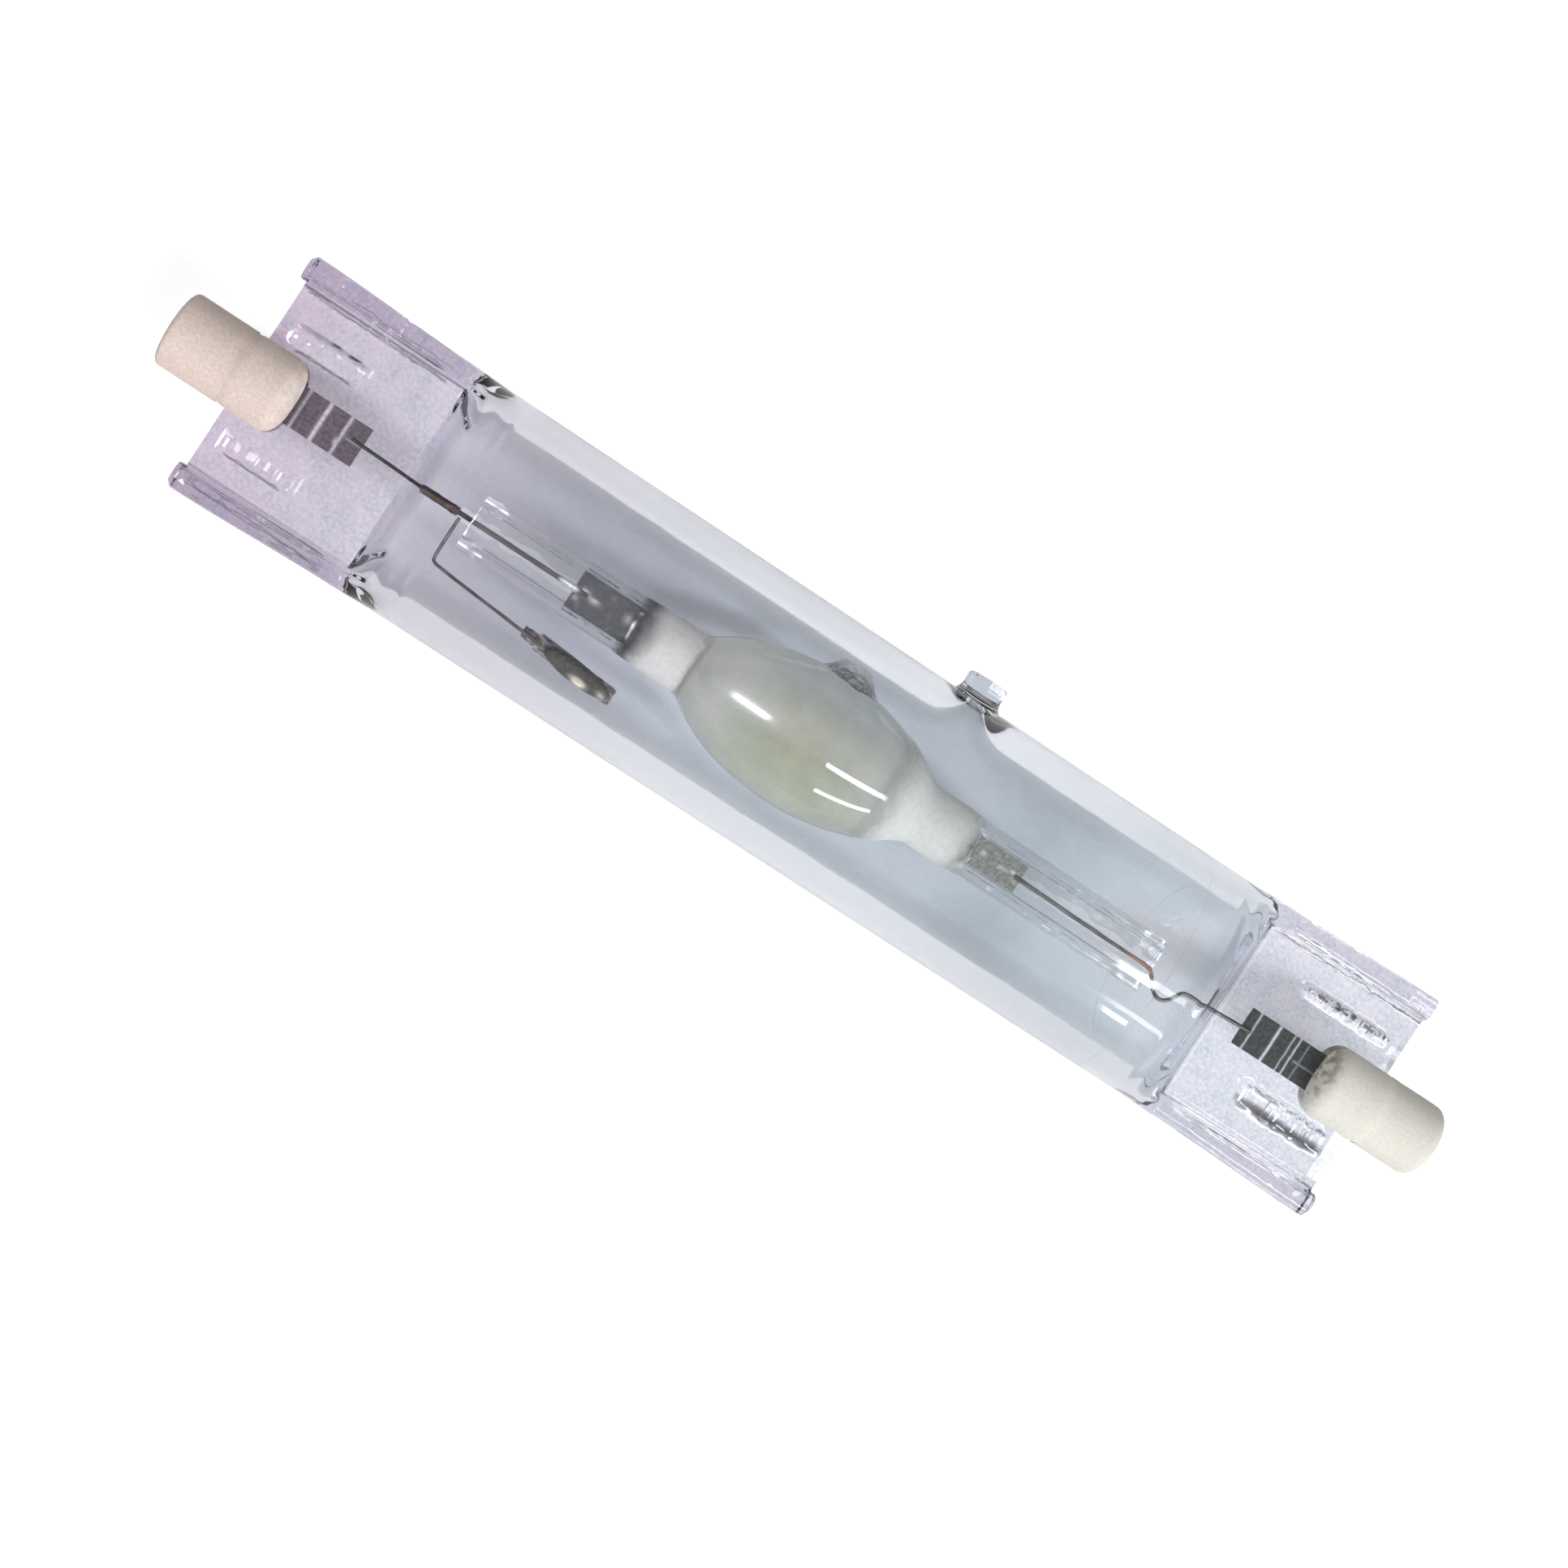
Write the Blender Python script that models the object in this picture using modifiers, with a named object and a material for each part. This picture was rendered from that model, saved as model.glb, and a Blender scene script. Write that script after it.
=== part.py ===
"""A double-ended metal halide lamp: a pressed quartz envelope with a quartz arc tube inside it.

Metres, +Z up. X runs along the lamp from the left cap to the right cap, +Y is the side of the exhaust
stub, +Z stands square to the flat pinches, and the origin is the lamp's centre.
"""

from math import acos, cos, pi, sin, sqrt

import bmesh
import bpy
from mathutils import Vector

# Whole lamp
OVERALL_LENGTH = 0.138
SIDES = {"left": -1, "right": 1}

# Clearances between neighbours
FIT_GAP = 0.0003
WIRE_GAP = 0.00015

# Envelope tube
TUBE_DIAMETER = 0.0233
TUBE_WALL = 0.00275
SHOULDER_LENGTH = 0.0038
BORE_END_HEIGHT = 0.0008
RING_QUARTER = 12

# Envelope pinches, each a flat web between two rails
PINCH_LENGTH = 0.0173
WEB_THICKNESS = 0.0024
RAIL_PROUD = 0.00045
RAIL_WIDTH = 0.0024
RAIL_THICKNESS = 0.0048
RAIL_ROUND = 0.0007
RAIL_OVERHANG = 0.0006
RAIL_BLEND = 0.0028
RIB_LENGTH = 0.0098
RIB_WIDTH = 0.0022
RIB_HEIGHT = 0.0006
RIB_BEVEL = 0.0004
RIB_CLEARANCE = 0.0009

# Exhaust stub on the tube's +Y side
STUB_PLACE = 0.0092
STUB_DIAMETER = 0.0040
STUB_HEIGHT = 0.0022
STUB_FLARE = 0.0006
STUB_SIDES = 20

# Ceramic caps
CAP_DIAMETER = 0.0074
CAP_LENGTH = 0.0129
CAP_PROTRUSION = 0.0074
CAP_NOSE_FLATNESS = 0.0003
CAP_EDGE_ROUND = {"left": 0.0005, "right": 0.0012}
CAP_ARC_STEPS = 4
CAP_SIDES = 32
CEMENT_LENGTH = 0.0009

# Contacts, recessed in the caps' outer ends
CONTACT_DEPTH = 0.0030
CONTACT_DIAMETER = 0.0035
CONTACT_HEAD = 0.0008
CONTACT_ROOM = 0.00035
CONTACT_SHANK_DIAMETER = 0.0019
CONTACT_BORE_DEPTH = 0.0012

# Foils and leads of the envelope
OUTER_FOIL_WIDTH = 0.0039
FOIL_THICKNESS = 0.0001
OUTER_FOIL_INSET = {"left": 0.0055, "right": 0.0031}
OUTER_FOIL_MARGIN = 0.0026
OUTER_LEAD_DIAMETER = 0.0007
INNER_LEAD_DIAMETER = 0.00045
LEAD_SLEEVE_DIAMETER = 0.0008
LEAD_SLEEVE_WALL = 0.0001
LEAD_SLEEVE_LENGTH = 0.0036
KINK_DEPTH = 0.0019
KINK_END_ROOM = 0.0008
KINK_STEPS = 16

# Arc tube: its bulb, its chamber, and a neck and a pressed stem at each end
LEAD_ROOM = {"left": 0.0035, "right": 0.0050}
BULB_PLACE = -0.0024
BULB_ROOM = 0.0021
BULB_LENGTH = 0.0266
BULB_WALL = 0.0013
BULB_END_WALL = 0.0018
NECK_DIAMETER = 0.0058
NECK_LENGTH = {"left": 0.0025, "right": 0.0029}
NECK_BLEND = 0.0030
STEM_WIDTH = 0.0056
STEM_RAIL_WIDTH = 0.0009
STEM_RAIL_THICKNESS = 0.0028
STEM_WEB_THICKNESS = 0.0018
STEM_ROUND = 0.0003
ARC_RING_QUARTER = 8
TIP_PLACE = -0.0016
TIP_CLEARANCE = 0.0004
TIP_BASE_DIAMETER = 0.0047
TIP_SIDES = 12

# Foils, electrodes, coating and fill of the arc tube
ARC_FOIL_WIDTH = 0.0030
ARC_FOIL_LENGTH = {"left": 0.0065, "right": 0.0055}
ARC_FOIL_BALANCE = {"left": 0.17, "right": 0.14}
ELECTRODE_DIAMETER = 0.0005
ELECTRODE_REACH = 0.0045
COIL_WIRE_DIAMETER = 0.00035
COIL_TURNS = 5
COIL_SET_BACK = 0.0008
COIL_POINTS_PER_TURN = 8
COATING_THICKNESS = 0.0002
COATING_OFFSET = {"left": 0.0015, "right": -0.0013}
COATING_LENGTH = {"left": 0.0052, "right": 0.0072}
COATING_STEPS = 6
DEPOSIT_LENGTH = 0.0070
DEPOSIT_WIDTH = 0.0030
DEPOSIT_END_WIDTH = 0.0006
DEPOSIT_THICKNESS = 0.0003
MERCURY_DIAMETER = 0.0009

# Getter, on a bent wire beside the arc tube's left stem
GETTER_WIRE_DIAMETER = 0.00035
GETTER_WIRE_OFFSET = 0.0011
GETTER_WALL_ROOM = 0.0039
GETTER_SLOPE = 0.085
STRIP_START_SHARE = 0.4325
STRIP_END_SHARE = 0.86
STRIP_WIDTH = 0.0020
STRIP_THICKNESS = 0.0002
STRIP_TILT = 0.7
STRIP_LAP_SHARE = 0.2
PELLET_SHARE = 0.72
PELLET_WIDTH = 0.0016
PELLET_HEIGHT = 0.0007
PELLET_END_MARGIN = 0.0003

# Places that follow from the sizes above, as distances from the lamp's centre or axis
CAP_END = OVERALL_LENGTH / 2
CAP_TIP = CAP_END - CAP_LENGTH
CONTACT_FACE = CAP_END - CONTACT_DEPTH
RECESS_FLOOR = CONTACT_FACE - CONTACT_HEAD - FIT_GAP
WEB_END = CAP_END - CAP_PROTRUSION
SLOT_FLOOR = WEB_END + CEMENT_LENGTH + 2 * FIT_GAP
PINCH_START = WEB_END - PINCH_LENGTH
TUBE_RADIUS = TUBE_DIAMETER / 2
BORE_RADIUS = TUBE_RADIUS - TUBE_WALL
RAIL_OUTER_EDGE = TUBE_RADIUS + RAIL_PROUD
RAIL_INNER_EDGE = RAIL_OUTER_EDGE - RAIL_WIDTH
RIB_INNER_EDGE = CAP_DIAMETER / 2 + RIB_CLEARANCE
SHOULDER_SLOPE = (TUBE_RADIUS - WEB_THICKNESS / 2) / SHOULDER_LENGTH
WALL_OVER_SHOULDER = TUBE_WALL * sqrt(1 + SHOULDER_SLOPE**2)
BORE_END = PINCH_START - (WALL_OVER_SHOULDER + BORE_END_HEIGHT / 2 - WEB_THICKNESS / 2) / SHOULDER_SLOPE
BULB_DIAMETER = 2 * (BORE_RADIUS - BULB_ROOM)
CHAMBER_DIAMETER = BULB_DIAMETER - 2 * BULB_WALL
CHAMBER_LENGTH = BULB_LENGTH - 2 * BULB_END_WALL
STEM_END = {name: BORE_END - LEAD_ROOM[name] for name in SIDES}
BULB_END = {name: BULB_LENGTH / 2 + SIDES[name] * BULB_PLACE for name in SIDES}
CHAMBER_END = {name: BULB_END[name] - BULB_END_WALL for name in SIDES}
NECK_END = {name: BULB_END[name] + NECK_LENGTH[name] for name in SIDES}
OUTER_FOIL_START = {name: PINCH_START + OUTER_FOIL_INSET[name] for name in SIDES}
OUTER_FOIL_END = WEB_END - OUTER_FOIL_MARGIN
GETTER_WIRE_PLACE = -STEM_END["left"] - GETTER_WIRE_OFFSET
GETTER_DROP = BORE_RADIUS - GETTER_WALL_ROOM
GETTER_ROOM = -GETTER_WIRE_PLACE - BULB_END["left"]
STRIP_PLACE = GETTER_WIRE_PLACE + STRIP_START_SHARE * GETTER_ROOM
STRIP_LENGTH = (STRIP_END_SHARE - STRIP_START_SHARE) * GETTER_ROOM
PELLET_LENGTH = PELLET_SHARE * STRIP_LENGTH


def clear_scene():
    for obj in list(bpy.data.objects):
        bpy.data.objects.remove(obj, do_unlink=True)
    for collection in list(bpy.data.collections):
        bpy.data.collections.remove(collection)


def new_collection(name):
    collection = bpy.data.collections.new(name)
    bpy.context.scene.collection.children.link(collection)
    return collection


def new_material(name, colour, roughness, metallic=0.0):
    made = bpy.data.materials.new(name)
    made.use_nodes = True
    shader = made.node_tree.nodes["Principled BSDF"]
    shader.inputs["Base Color"].default_value = (*colour, 1.0)
    shader.inputs["Roughness"].default_value = roughness
    shader.inputs["Metallic"].default_value = metallic
    made.diffuse_color = (*colour, 1.0)
    return made


clear_scene()
LAMP = new_collection("metal_halide_lamp")
CUTTERS = new_collection("cutters")
QUARTZ = new_material("quartz", (0.80, 0.80, 0.87), 0.05)
BURNER_QUARTZ = new_material("burner_quartz", (0.76, 0.77, 0.72), 0.15)
CERAMIC = new_material("ceramic", (0.84, 0.78, 0.71), 0.75)
CEMENT = new_material("cement", (0.72, 0.68, 0.60), 0.90)
CONTACT_METAL = new_material("contact_metal", (0.62, 0.60, 0.57), 0.35, 1.0)
FOIL_METAL = new_material("foil_metal", (0.16, 0.14, 0.15), 0.45, 1.0)
WIRE_METAL = new_material("wire_metal", (0.20, 0.17, 0.17), 0.40, 1.0)
TUNGSTEN = new_material("tungsten", (0.30, 0.30, 0.31), 0.40, 1.0)
WHITE_COAT = new_material("white_coat", (0.88, 0.88, 0.88), 0.85)
GETTER_METAL = new_material("getter_metal", (0.22, 0.20, 0.20), 0.40, 1.0)
PELLET = new_material("pellet", (0.09, 0.08, 0.09), 0.55, 0.6)
HALIDE_SALT = new_material("halide_salt", (0.72, 0.70, 0.34), 0.50)
MERCURY = new_material("mercury", (0.70, 0.71, 0.73), 0.08, 1.0)


def add_object(name, mesh, material, smooth_angle=0.6):
    obj = bpy.data.objects.new(name, mesh)
    mesh.materials.append(material)
    if isinstance(mesh, bpy.types.Mesh):
        mesh.shade_smooth()
        mesh.set_sharp_from_angle(angle=smooth_angle)
    LAMP.objects.link(obj)
    return obj


def add_cutter(name, mesh):
    obj = bpy.data.objects.new(name, mesh)
    obj.hide_render = True
    obj.display_type = "WIRE"
    CUTTERS.objects.link(obj)
    return obj


def boolean(target, other, operation):
    modifier = target.modifiers.new(f"{operation.lower()}_{other.name}", "BOOLEAN")
    modifier.operation = operation
    modifier.object = other


def mesh_of(name, bm):
    bmesh.ops.recalc_face_normals(bm, faces=bm.faces)
    mesh = bpy.data.meshes.new(name)
    bm.to_mesh(mesh)
    bm.free()
    return mesh


def box_mesh(name, low, high):
    bm = bmesh.new()
    bmesh.ops.create_cube(bm, size=1.0)
    low, high = Vector(low), Vector(high)
    for vert in bm.verts:
        vert.co = Vector((low + high) / 2) + Vector(a * b for a, b in zip(vert.co, high - low))
    return mesh_of(name, bm)


def rod_mesh(name, start, end, diameter, sides=16):
    """A round rod along X, with a flat facet below and above."""
    ring = [2 * pi * (k + 0.5) / sides for k in range(sides)]
    section = [(diameter / 2 * cos(a), diameter / 2 * sin(a)) for a in ring]
    return loft_mesh(name, [[Vector((x, y, z)) for y, z in section] for x in (start, end)])


def loft_mesh(name, sections):
    """A closed skin over sections that have the same number of points, with flat ends."""
    bm = bmesh.new()
    rings = [[bm.verts.new(point) for point in section] for section in sections]
    for ring, following in zip(rings, rings[1:]):
        for k in range(len(ring)):
            after = (k + 1) % len(ring)
            bm.faces.new((ring[k], ring[after], following[after], following[k]))
    bm.faces.new(rings[0])
    bm.faces.new(rings[-1])
    return mesh_of(name, bm)


def sleeve_mesh(name, outer, inner):
    """A skin over the outer sections and one over the inner ones, joined by a rim at each end."""
    bm = bmesh.new()
    rings = [[bm.verts.new(point) for point in section] for section in outer + inner[::-1]]
    for ring, following in zip(rings, rings[1:] + rings[:1]):
        for k in range(len(ring)):
            after = (k + 1) % len(ring)
            bm.faces.new((ring[k], ring[after], following[after], following[k]))
    return mesh_of(name, bm)


def turned(name, profile, material, side, closed=False, sides=CAP_SIDES):
    """A profile of (radius, distance from the lamp's centre), listed outer end first, turned about X."""
    bm = bmesh.new()
    verts = [bm.verts.new((radius, 0.0, distance)) for radius, distance in profile]
    for vert, following in zip(verts, verts[1:]):
        bm.edges.new((vert, following))
    if closed:
        bm.edges.new((verts[-1], verts[0]))
    mesh = bpy.data.meshes.new(name)
    bm.to_mesh(mesh)
    bm.free()
    obj = add_object(name, mesh, material)
    screw = obj.modifiers.new("turn", "SCREW")
    screw.steps = screw.render_steps = sides
    screw.use_merge_vertices = True
    screw.merge_threshold = 0.00001
    screw.use_smooth_shade = True
    obj.rotation_euler = (0.0, side * pi / 2, 0.0)
    return obj


def wire(name, points, diameter, material):
    curve = bpy.data.curves.new(name, "CURVE")
    curve.dimensions = "3D"
    curve.bevel_depth = diameter / 2
    curve.bevel_resolution = 2
    curve.use_fill_caps = True
    spline = curve.splines.new("POLY")
    spline.points.add(len(points) - 1)
    for target, point in zip(spline.points, points):
        target.co = (*point, 1.0)
    return add_object(name, curve, material)


def blended(start, end, share):
    return tuple(a + (b - a) * share for a, b in zip(start, end))


def eased(share):
    share = min(max(share, 0.0), 1.0)
    return share * share * (3 - 2 * share)


def ring_of(quarter, x):
    """The whole section at x, from its +Y +Z quarter listed from the side to the middle."""
    upper = quarter + [(-y, z) for y, z in reversed(quarter)]
    lower = [(-y, -z) for y, z in quarter] + [(y, -z) for y, z in reversed(quarter)]
    return [Vector((x, y, z)) for y, z in upper + lower]


def circle_quarter(radius, count):
    angles = [pi / 2 * (k + 0.5) / count for k in range(count)]
    return [(radius * cos(a), radius * sin(a)) for a in angles]


# Envelope


def pinch_quarter(rib_height, rail_inset=0.0):
    """Half a rail, the web's fillet, one locating rib and the flat web, from the side to the middle."""
    side = RAIL_OUTER_EDGE - rail_inset
    top = RAIL_THICKNESS / 2 - rail_inset
    web = WEB_THICKNESS / 2
    rail = RAIL_INNER_EDGE
    rib_inner = RIB_INNER_EDGE
    rib_outer = RIB_INNER_EDGE + RIB_WIDTH
    return [
        (side, top - RAIL_ROUND),
        (side - 0.3 * RAIL_ROUND, top - 0.3 * RAIL_ROUND),
        (side - RAIL_ROUND, top),
        (rail + 0.5 * RAIL_ROUND, top),
        (rail, top - 0.5 * RAIL_ROUND),
        (rail - RAIL_ROUND, web),
        (rib_outer, web),
        (rib_outer - RIB_BEVEL, web + rib_height),
        (rib_inner + RIB_BEVEL, web + rib_height),
        (rib_inner, web),
        (0.5 * rib_inner, web),
        (0.2 * rib_inner, web),
    ]


def shouldered(x, round_quarter, flat_quarter, foot, least_length):
    """A round section pressed flat: each point falls down the shoulder's slope and reaches its foot."""
    quarter = []
    for round_point, flat_point in zip(round_quarter, flat_quarter):
        length = max(abs(round_point[1] - flat_point[1]) / SHOULDER_SLOPE, least_length)
        share = min(max((abs(x) - foot) / length + 1, 0.0), 1.0)
        quarter.append(blended(round_point, flat_point, share))
    return ring_of(quarter, x)


def both_ways(distances):
    return [-d for d in reversed(distances)] + list(distances)


def spaced(start, end, steps):
    return [start + (end - start) * k / steps for k in range(steps + 1)]


def envelope_body():
    circle = circle_quarter(TUBE_RADIUS, RING_QUARTER)
    rib_start = WEB_END - RIB_LENGTH
    rail_end = WEB_END + RAIL_OVERHANG
    plain = spaced(PINCH_START - SHOULDER_LENGTH, PINCH_START, 7)
    stations = plain + [rib_start, rib_start + RIB_HEIGHT, rail_end - RAIL_ROUND / 2, rail_end]
    sections = []
    for x in both_ways(stations):
        height = RIB_HEIGHT if abs(x) > rib_start else 0.0
        inset = RAIL_ROUND / 2 if abs(x) == rail_end else 0.0
        sections.append(shouldered(x, circle, pinch_quarter(height, inset), PINCH_START, RAIL_BLEND))
    return loft_mesh("outer_envelope", sections)


def envelope_bore():
    circle = circle_quarter(BORE_RADIUS, RING_QUARTER)
    slit = [(y * RAIL_INNER_EDGE / BORE_RADIUS, z * BORE_END_HEIGHT / 2 / BORE_RADIUS) for y, z in circle]
    start = BORE_END - (BORE_RADIUS - BORE_END_HEIGHT / 2) / SHOULDER_SLOPE
    stations = both_ways(spaced(start, BORE_END, 7))
    sections = [shouldered(x, circle, slit, BORE_END, RAIL_BLEND / 2) for x in stations]
    return loft_mesh("envelope_bore", sections)


def exhaust_stub():
    """A cut-off tube end, flared where it is fused into the tube's side."""
    radius = STUB_DIAMETER / 2
    root = TUBE_RADIUS - TUBE_WALL / 2
    rings = [(root, radius + STUB_FLARE), (TUBE_RADIUS, radius + STUB_FLARE)]
    rings += [(TUBE_RADIUS + STUB_FLARE, radius), (TUBE_RADIUS + STUB_HEIGHT, radius)]
    sections = []
    for y, r in rings:
        angles = [2 * pi * k / STUB_SIDES for k in range(STUB_SIDES)]
        sections.append([Vector((STUB_PLACE + r * cos(a), y, r * sin(a))) for a in angles])
    return loft_mesh("exhaust_stub", sections)


def seal_channel(side_name, body, lead_diameter, foil, foil_width, end):
    """The space of a foil and its wires in a pinch, open from the inside to the pinch's outer end."""
    side = SIDES[side_name]
    inner, foil_start, foil_end = foil
    radius = lead_diameter / 2 + WIRE_GAP
    lead = add_cutter(
        f"{side_name}_{body.name}_lead_channel",
        rod_mesh("lead_channel", side * inner, side * end, 2 * radius, sides=12),
    )
    half_width = foil_width / 2 + WIRE_GAP
    half_height = FOIL_THICKNESS / 2 + WIRE_GAP
    slot_ends = sorted((side * (foil_start - WIRE_GAP), side * (foil_end + WIRE_GAP)))
    slot = add_cutter(
        f"{side_name}_{body.name}_foil_slot",
        box_mesh(
            "foil_slot",
            (slot_ends[0], -half_width, -half_height),
            (slot_ends[1], half_width, half_height),
        ),
    )
    boolean(body, lead, "DIFFERENCE")
    boolean(body, slot, "DIFFERENCE")


def build_envelope():
    envelope = add_object("outer_envelope", envelope_body(), QUARTZ)
    boolean(envelope, add_cutter("exhaust_stub", exhaust_stub()), "UNION")
    boolean(envelope, add_cutter("envelope_bore", envelope_bore()), "DIFFERENCE")
    for side_name, side in SIDES.items():
        edge = sorted((side * WEB_END, side * (WEB_END + 2 * RAIL_OVERHANG)))
        notch = box_mesh(
            "web_edge",
            (edge[0], -RAIL_INNER_EDGE, -RAIL_THICKNESS),
            (edge[1], RAIL_INNER_EDGE, RAIL_THICKNESS),
        )
        boolean(envelope, add_cutter(f"{side_name}_web_edge", notch), "DIFFERENCE")
        foil = (BORE_END - BORE_END_HEIGHT, OUTER_FOIL_START[side_name], OUTER_FOIL_END)
        lead = max(INNER_LEAD_DIAMETER, OUTER_LEAD_DIAMETER)
        seal_channel(side_name, envelope, lead, foil, OUTER_FOIL_WIDTH, CAP_END)


# Caps, contacts and the parts sealed in the envelope's pinches


def arc_points(centre, radius, start, end, steps):
    angles = spaced(start, end, steps)
    return [(centre[0] + radius * cos(a), centre[1] + radius * sin(a)) for a in angles]


def build_cap(side_name):
    """A turned cap with a contact recess, slotted to fit over the web of the pinch."""
    side = SIDES[side_name]
    radius = CAP_DIAMETER / 2
    recess = CONTACT_DIAMETER / 2 + CONTACT_ROOM
    corner = min(CAP_EDGE_ROUND[side_name], 0.8 * (radius - recess))
    hole = CONTACT_SHANK_DIAMETER / 2 + FIT_GAP
    nose_radius = radius + CAP_NOSE_FLATNESS
    nose_edge = acos(radius / nose_radius)
    profile = [(0.0, SLOT_FLOOR - FIT_GAP), (hole, SLOT_FLOOR - FIT_GAP), (hole, RECESS_FLOOR)]
    profile += [(recess, RECESS_FLOOR), (recess, CAP_END)]
    profile += arc_points((radius - corner, CAP_END - corner), corner, pi / 2, 0.0, CAP_ARC_STEPS)
    nose = arc_points((0.0, CAP_TIP + nose_radius), nose_radius, -nose_edge, -pi / 2, CAP_ARC_STEPS)
    profile += nose[:-1] + [(0.0, CAP_TIP)]
    cap = turned(f"{side_name}_cap", profile, CERAMIC, side)
    slot = sorted((side * (CAP_TIP - CAP_DIAMETER), side * SLOT_FLOOR))
    half_slot = WEB_THICKNESS / 2 + FIT_GAP
    cutter = box_mesh("cap_slot", (slot[0], -CAP_DIAMETER, -half_slot), (slot[1], CAP_DIAMETER, half_slot))
    boolean(cap, add_cutter(f"{side_name}_cap_slot", cutter), "DIFFERENCE")


def build_contact(side_name):
    """A contact button whose hollow shank takes the end of the outer lead."""
    head, shank = CONTACT_DIAMETER / 2, CONTACT_SHANK_DIAMETER / 2
    bore = OUTER_LEAD_DIAMETER / 2 + WIRE_GAP
    back = CONTACT_FACE - CONTACT_HEAD
    shank_end = SLOT_FLOOR + FIT_GAP
    bore_floor = shank_end + CONTACT_BORE_DEPTH
    profile = [(0.0, CONTACT_FACE), (head, CONTACT_FACE), (head, back), (shank, back)]
    profile += [(shank, shank_end), (bore, shank_end), (bore, bore_floor), (0.0, bore_floor)]
    turned(f"{side_name}_contact", profile, CONTACT_METAL, SIDES[side_name], sides=24)
    return bore_floor - FIT_GAP


def build_cement(side_name):
    side = SIDES[side_name]
    ends = sorted((side * (WEB_END + FIT_GAP), side * (WEB_END + FIT_GAP + CEMENT_LENGTH)))
    half_height = WEB_THICKNESS / 2
    half_width = sqrt((CAP_DIAMETER / 2) ** 2 - half_height**2) - FIT_GAP
    mesh = box_mesh("cement", (ends[0], -half_width, -half_height), (ends[1], half_width, half_height))
    cement = add_object(f"{side_name}_cap_cement", mesh, CEMENT)
    diameter = OUTER_LEAD_DIAMETER + 2 * WIRE_GAP
    hole = rod_mesh("cement_hole", ends[0] - FIT_GAP, ends[1] + FIT_GAP, diameter, sides=12)
    boolean(cement, add_cutter(f"{side_name}_cement_hole", hole), "DIFFERENCE")


def build_foil(name, side, start, end, width):
    ends = sorted((side * start, side * end))
    half = FOIL_THICKNESS / 2
    mesh = box_mesh(name, (ends[0], -width / 2, -half), (ends[1], width / 2, half))
    add_object(name, mesh, FOIL_METAL)


def straight(side, start, end):
    return [(side * start, 0.0, 0.0), (side * end, 0.0, 0.0)]


def kinked(side, start, end):
    """A straight run with one smooth dip towards -Y, just outside the arc tube's stem."""
    dip_start = STEM_END["right"] + WIRE_GAP
    dip_length = LEAD_ROOM["right"] - WIRE_GAP - KINK_END_ROOM
    points = [(side * start, 0.0, 0.0)]
    for distance in spaced(dip_start, dip_start + dip_length, KINK_STEPS):
        share = (distance - dip_start) / dip_length
        dip = KINK_DEPTH * sin(pi * eased(share)) ** 1.2
        points.append((side * distance, -dip, 0.0))
    return points + [(side * end, 0.0, 0.0)]


def arc_foil_ends(side_name):
    """Where a stem's foil starts and ends, from the stem's free length and the foil's balance."""
    free = STEM_END[side_name] - NECK_END[side_name] - ARC_FOIL_LENGTH[side_name]
    start = NECK_END[side_name] + free * ARC_FOIL_BALANCE[side_name]
    return start, start + ARC_FOIL_LENGTH[side_name]


def build_leads():
    for side_name, side in SIDES.items():
        lead_end = build_contact(side_name)
        outer = straight(side, OUTER_FOIL_END + WIRE_GAP, lead_end)
        wire(f"{side_name}_outer_lead", outer, OUTER_LEAD_DIAMETER, WIRE_METAL)
        route = kinked if side_name == "right" else straight
        foil_start, foil_end = arc_foil_ends(side_name)
        inner = route(side, foil_end + WIRE_GAP, OUTER_FOIL_START[side_name] - WIRE_GAP)
        wire(f"{side_name}_inner_lead", inner, INNER_LEAD_DIAMETER, WIRE_METAL)
        build_foil(
            f"{side_name}_outer_foil", side, OUTER_FOIL_START[side_name], OUTER_FOIL_END, OUTER_FOIL_WIDTH
        )
        build_foil(f"{side_name}_arc_foil", side, foil_start, foil_end, ARC_FOIL_WIDTH)


def build_sleeve():
    outer = LEAD_SLEEVE_DIAMETER / 2
    inner = outer - LEAD_SLEEVE_WALL
    start = -GETTER_WIRE_PLACE + GETTER_WIRE_DIAMETER / 2 + WIRE_GAP
    end = start + LEAD_SLEEVE_LENGTH
    profile = [(inner, end), (outer, end), (outer, start), (inner, start)]
    turned("left_lead_sleeve", profile, WIRE_METAL, SIDES["left"], closed=True, sides=16)


# Arc tube


def stem_quarter():
    side, top, web = STEM_WIDTH / 2, STEM_RAIL_THICKNESS / 2, STEM_WEB_THICKNESS / 2
    rail = side - STEM_RAIL_WIDTH
    return [
        (side, top - STEM_ROUND),
        (side - STEM_ROUND, top),
        (rail + STEM_ROUND / 2, top),
        (rail, top - STEM_ROUND / 2),
        (rail - STEM_ROUND, web),
        (0.6 * rail, web),
        (0.35 * rail, web),
        (0.12 * rail, web),
    ]


def burner_radius(x):
    """The bulb's ellipse, eased into the neck."""
    across = 1 - ((x - BULB_PLACE) / (BULB_LENGTH / 2)) ** 2
    bulb = BULB_DIAMETER / 2 * sqrt(max(across, 0.0))
    neck = NECK_DIAMETER / 2
    return (bulb**6 + neck**6) ** (1 / 6)


def burner_section(x, growth=0.0):
    """The section at x: round at the bulb and necks, pressed at the stems."""
    side_name = "left" if x < 0 else "right"
    share = eased((abs(x) - NECK_END[side_name]) / NECK_BLEND)
    circle = circle_quarter(burner_radius(x) + growth, ARC_RING_QUARTER)
    unit = circle_quarter(growth, ARC_RING_QUARTER)
    stem = [(y + dy, z + dz) for (y, z), (dy, dz) in zip(stem_quarter(), unit)]
    return ring_of([blended(a, b, share) for a, b in zip(circle, stem)], x)


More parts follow.
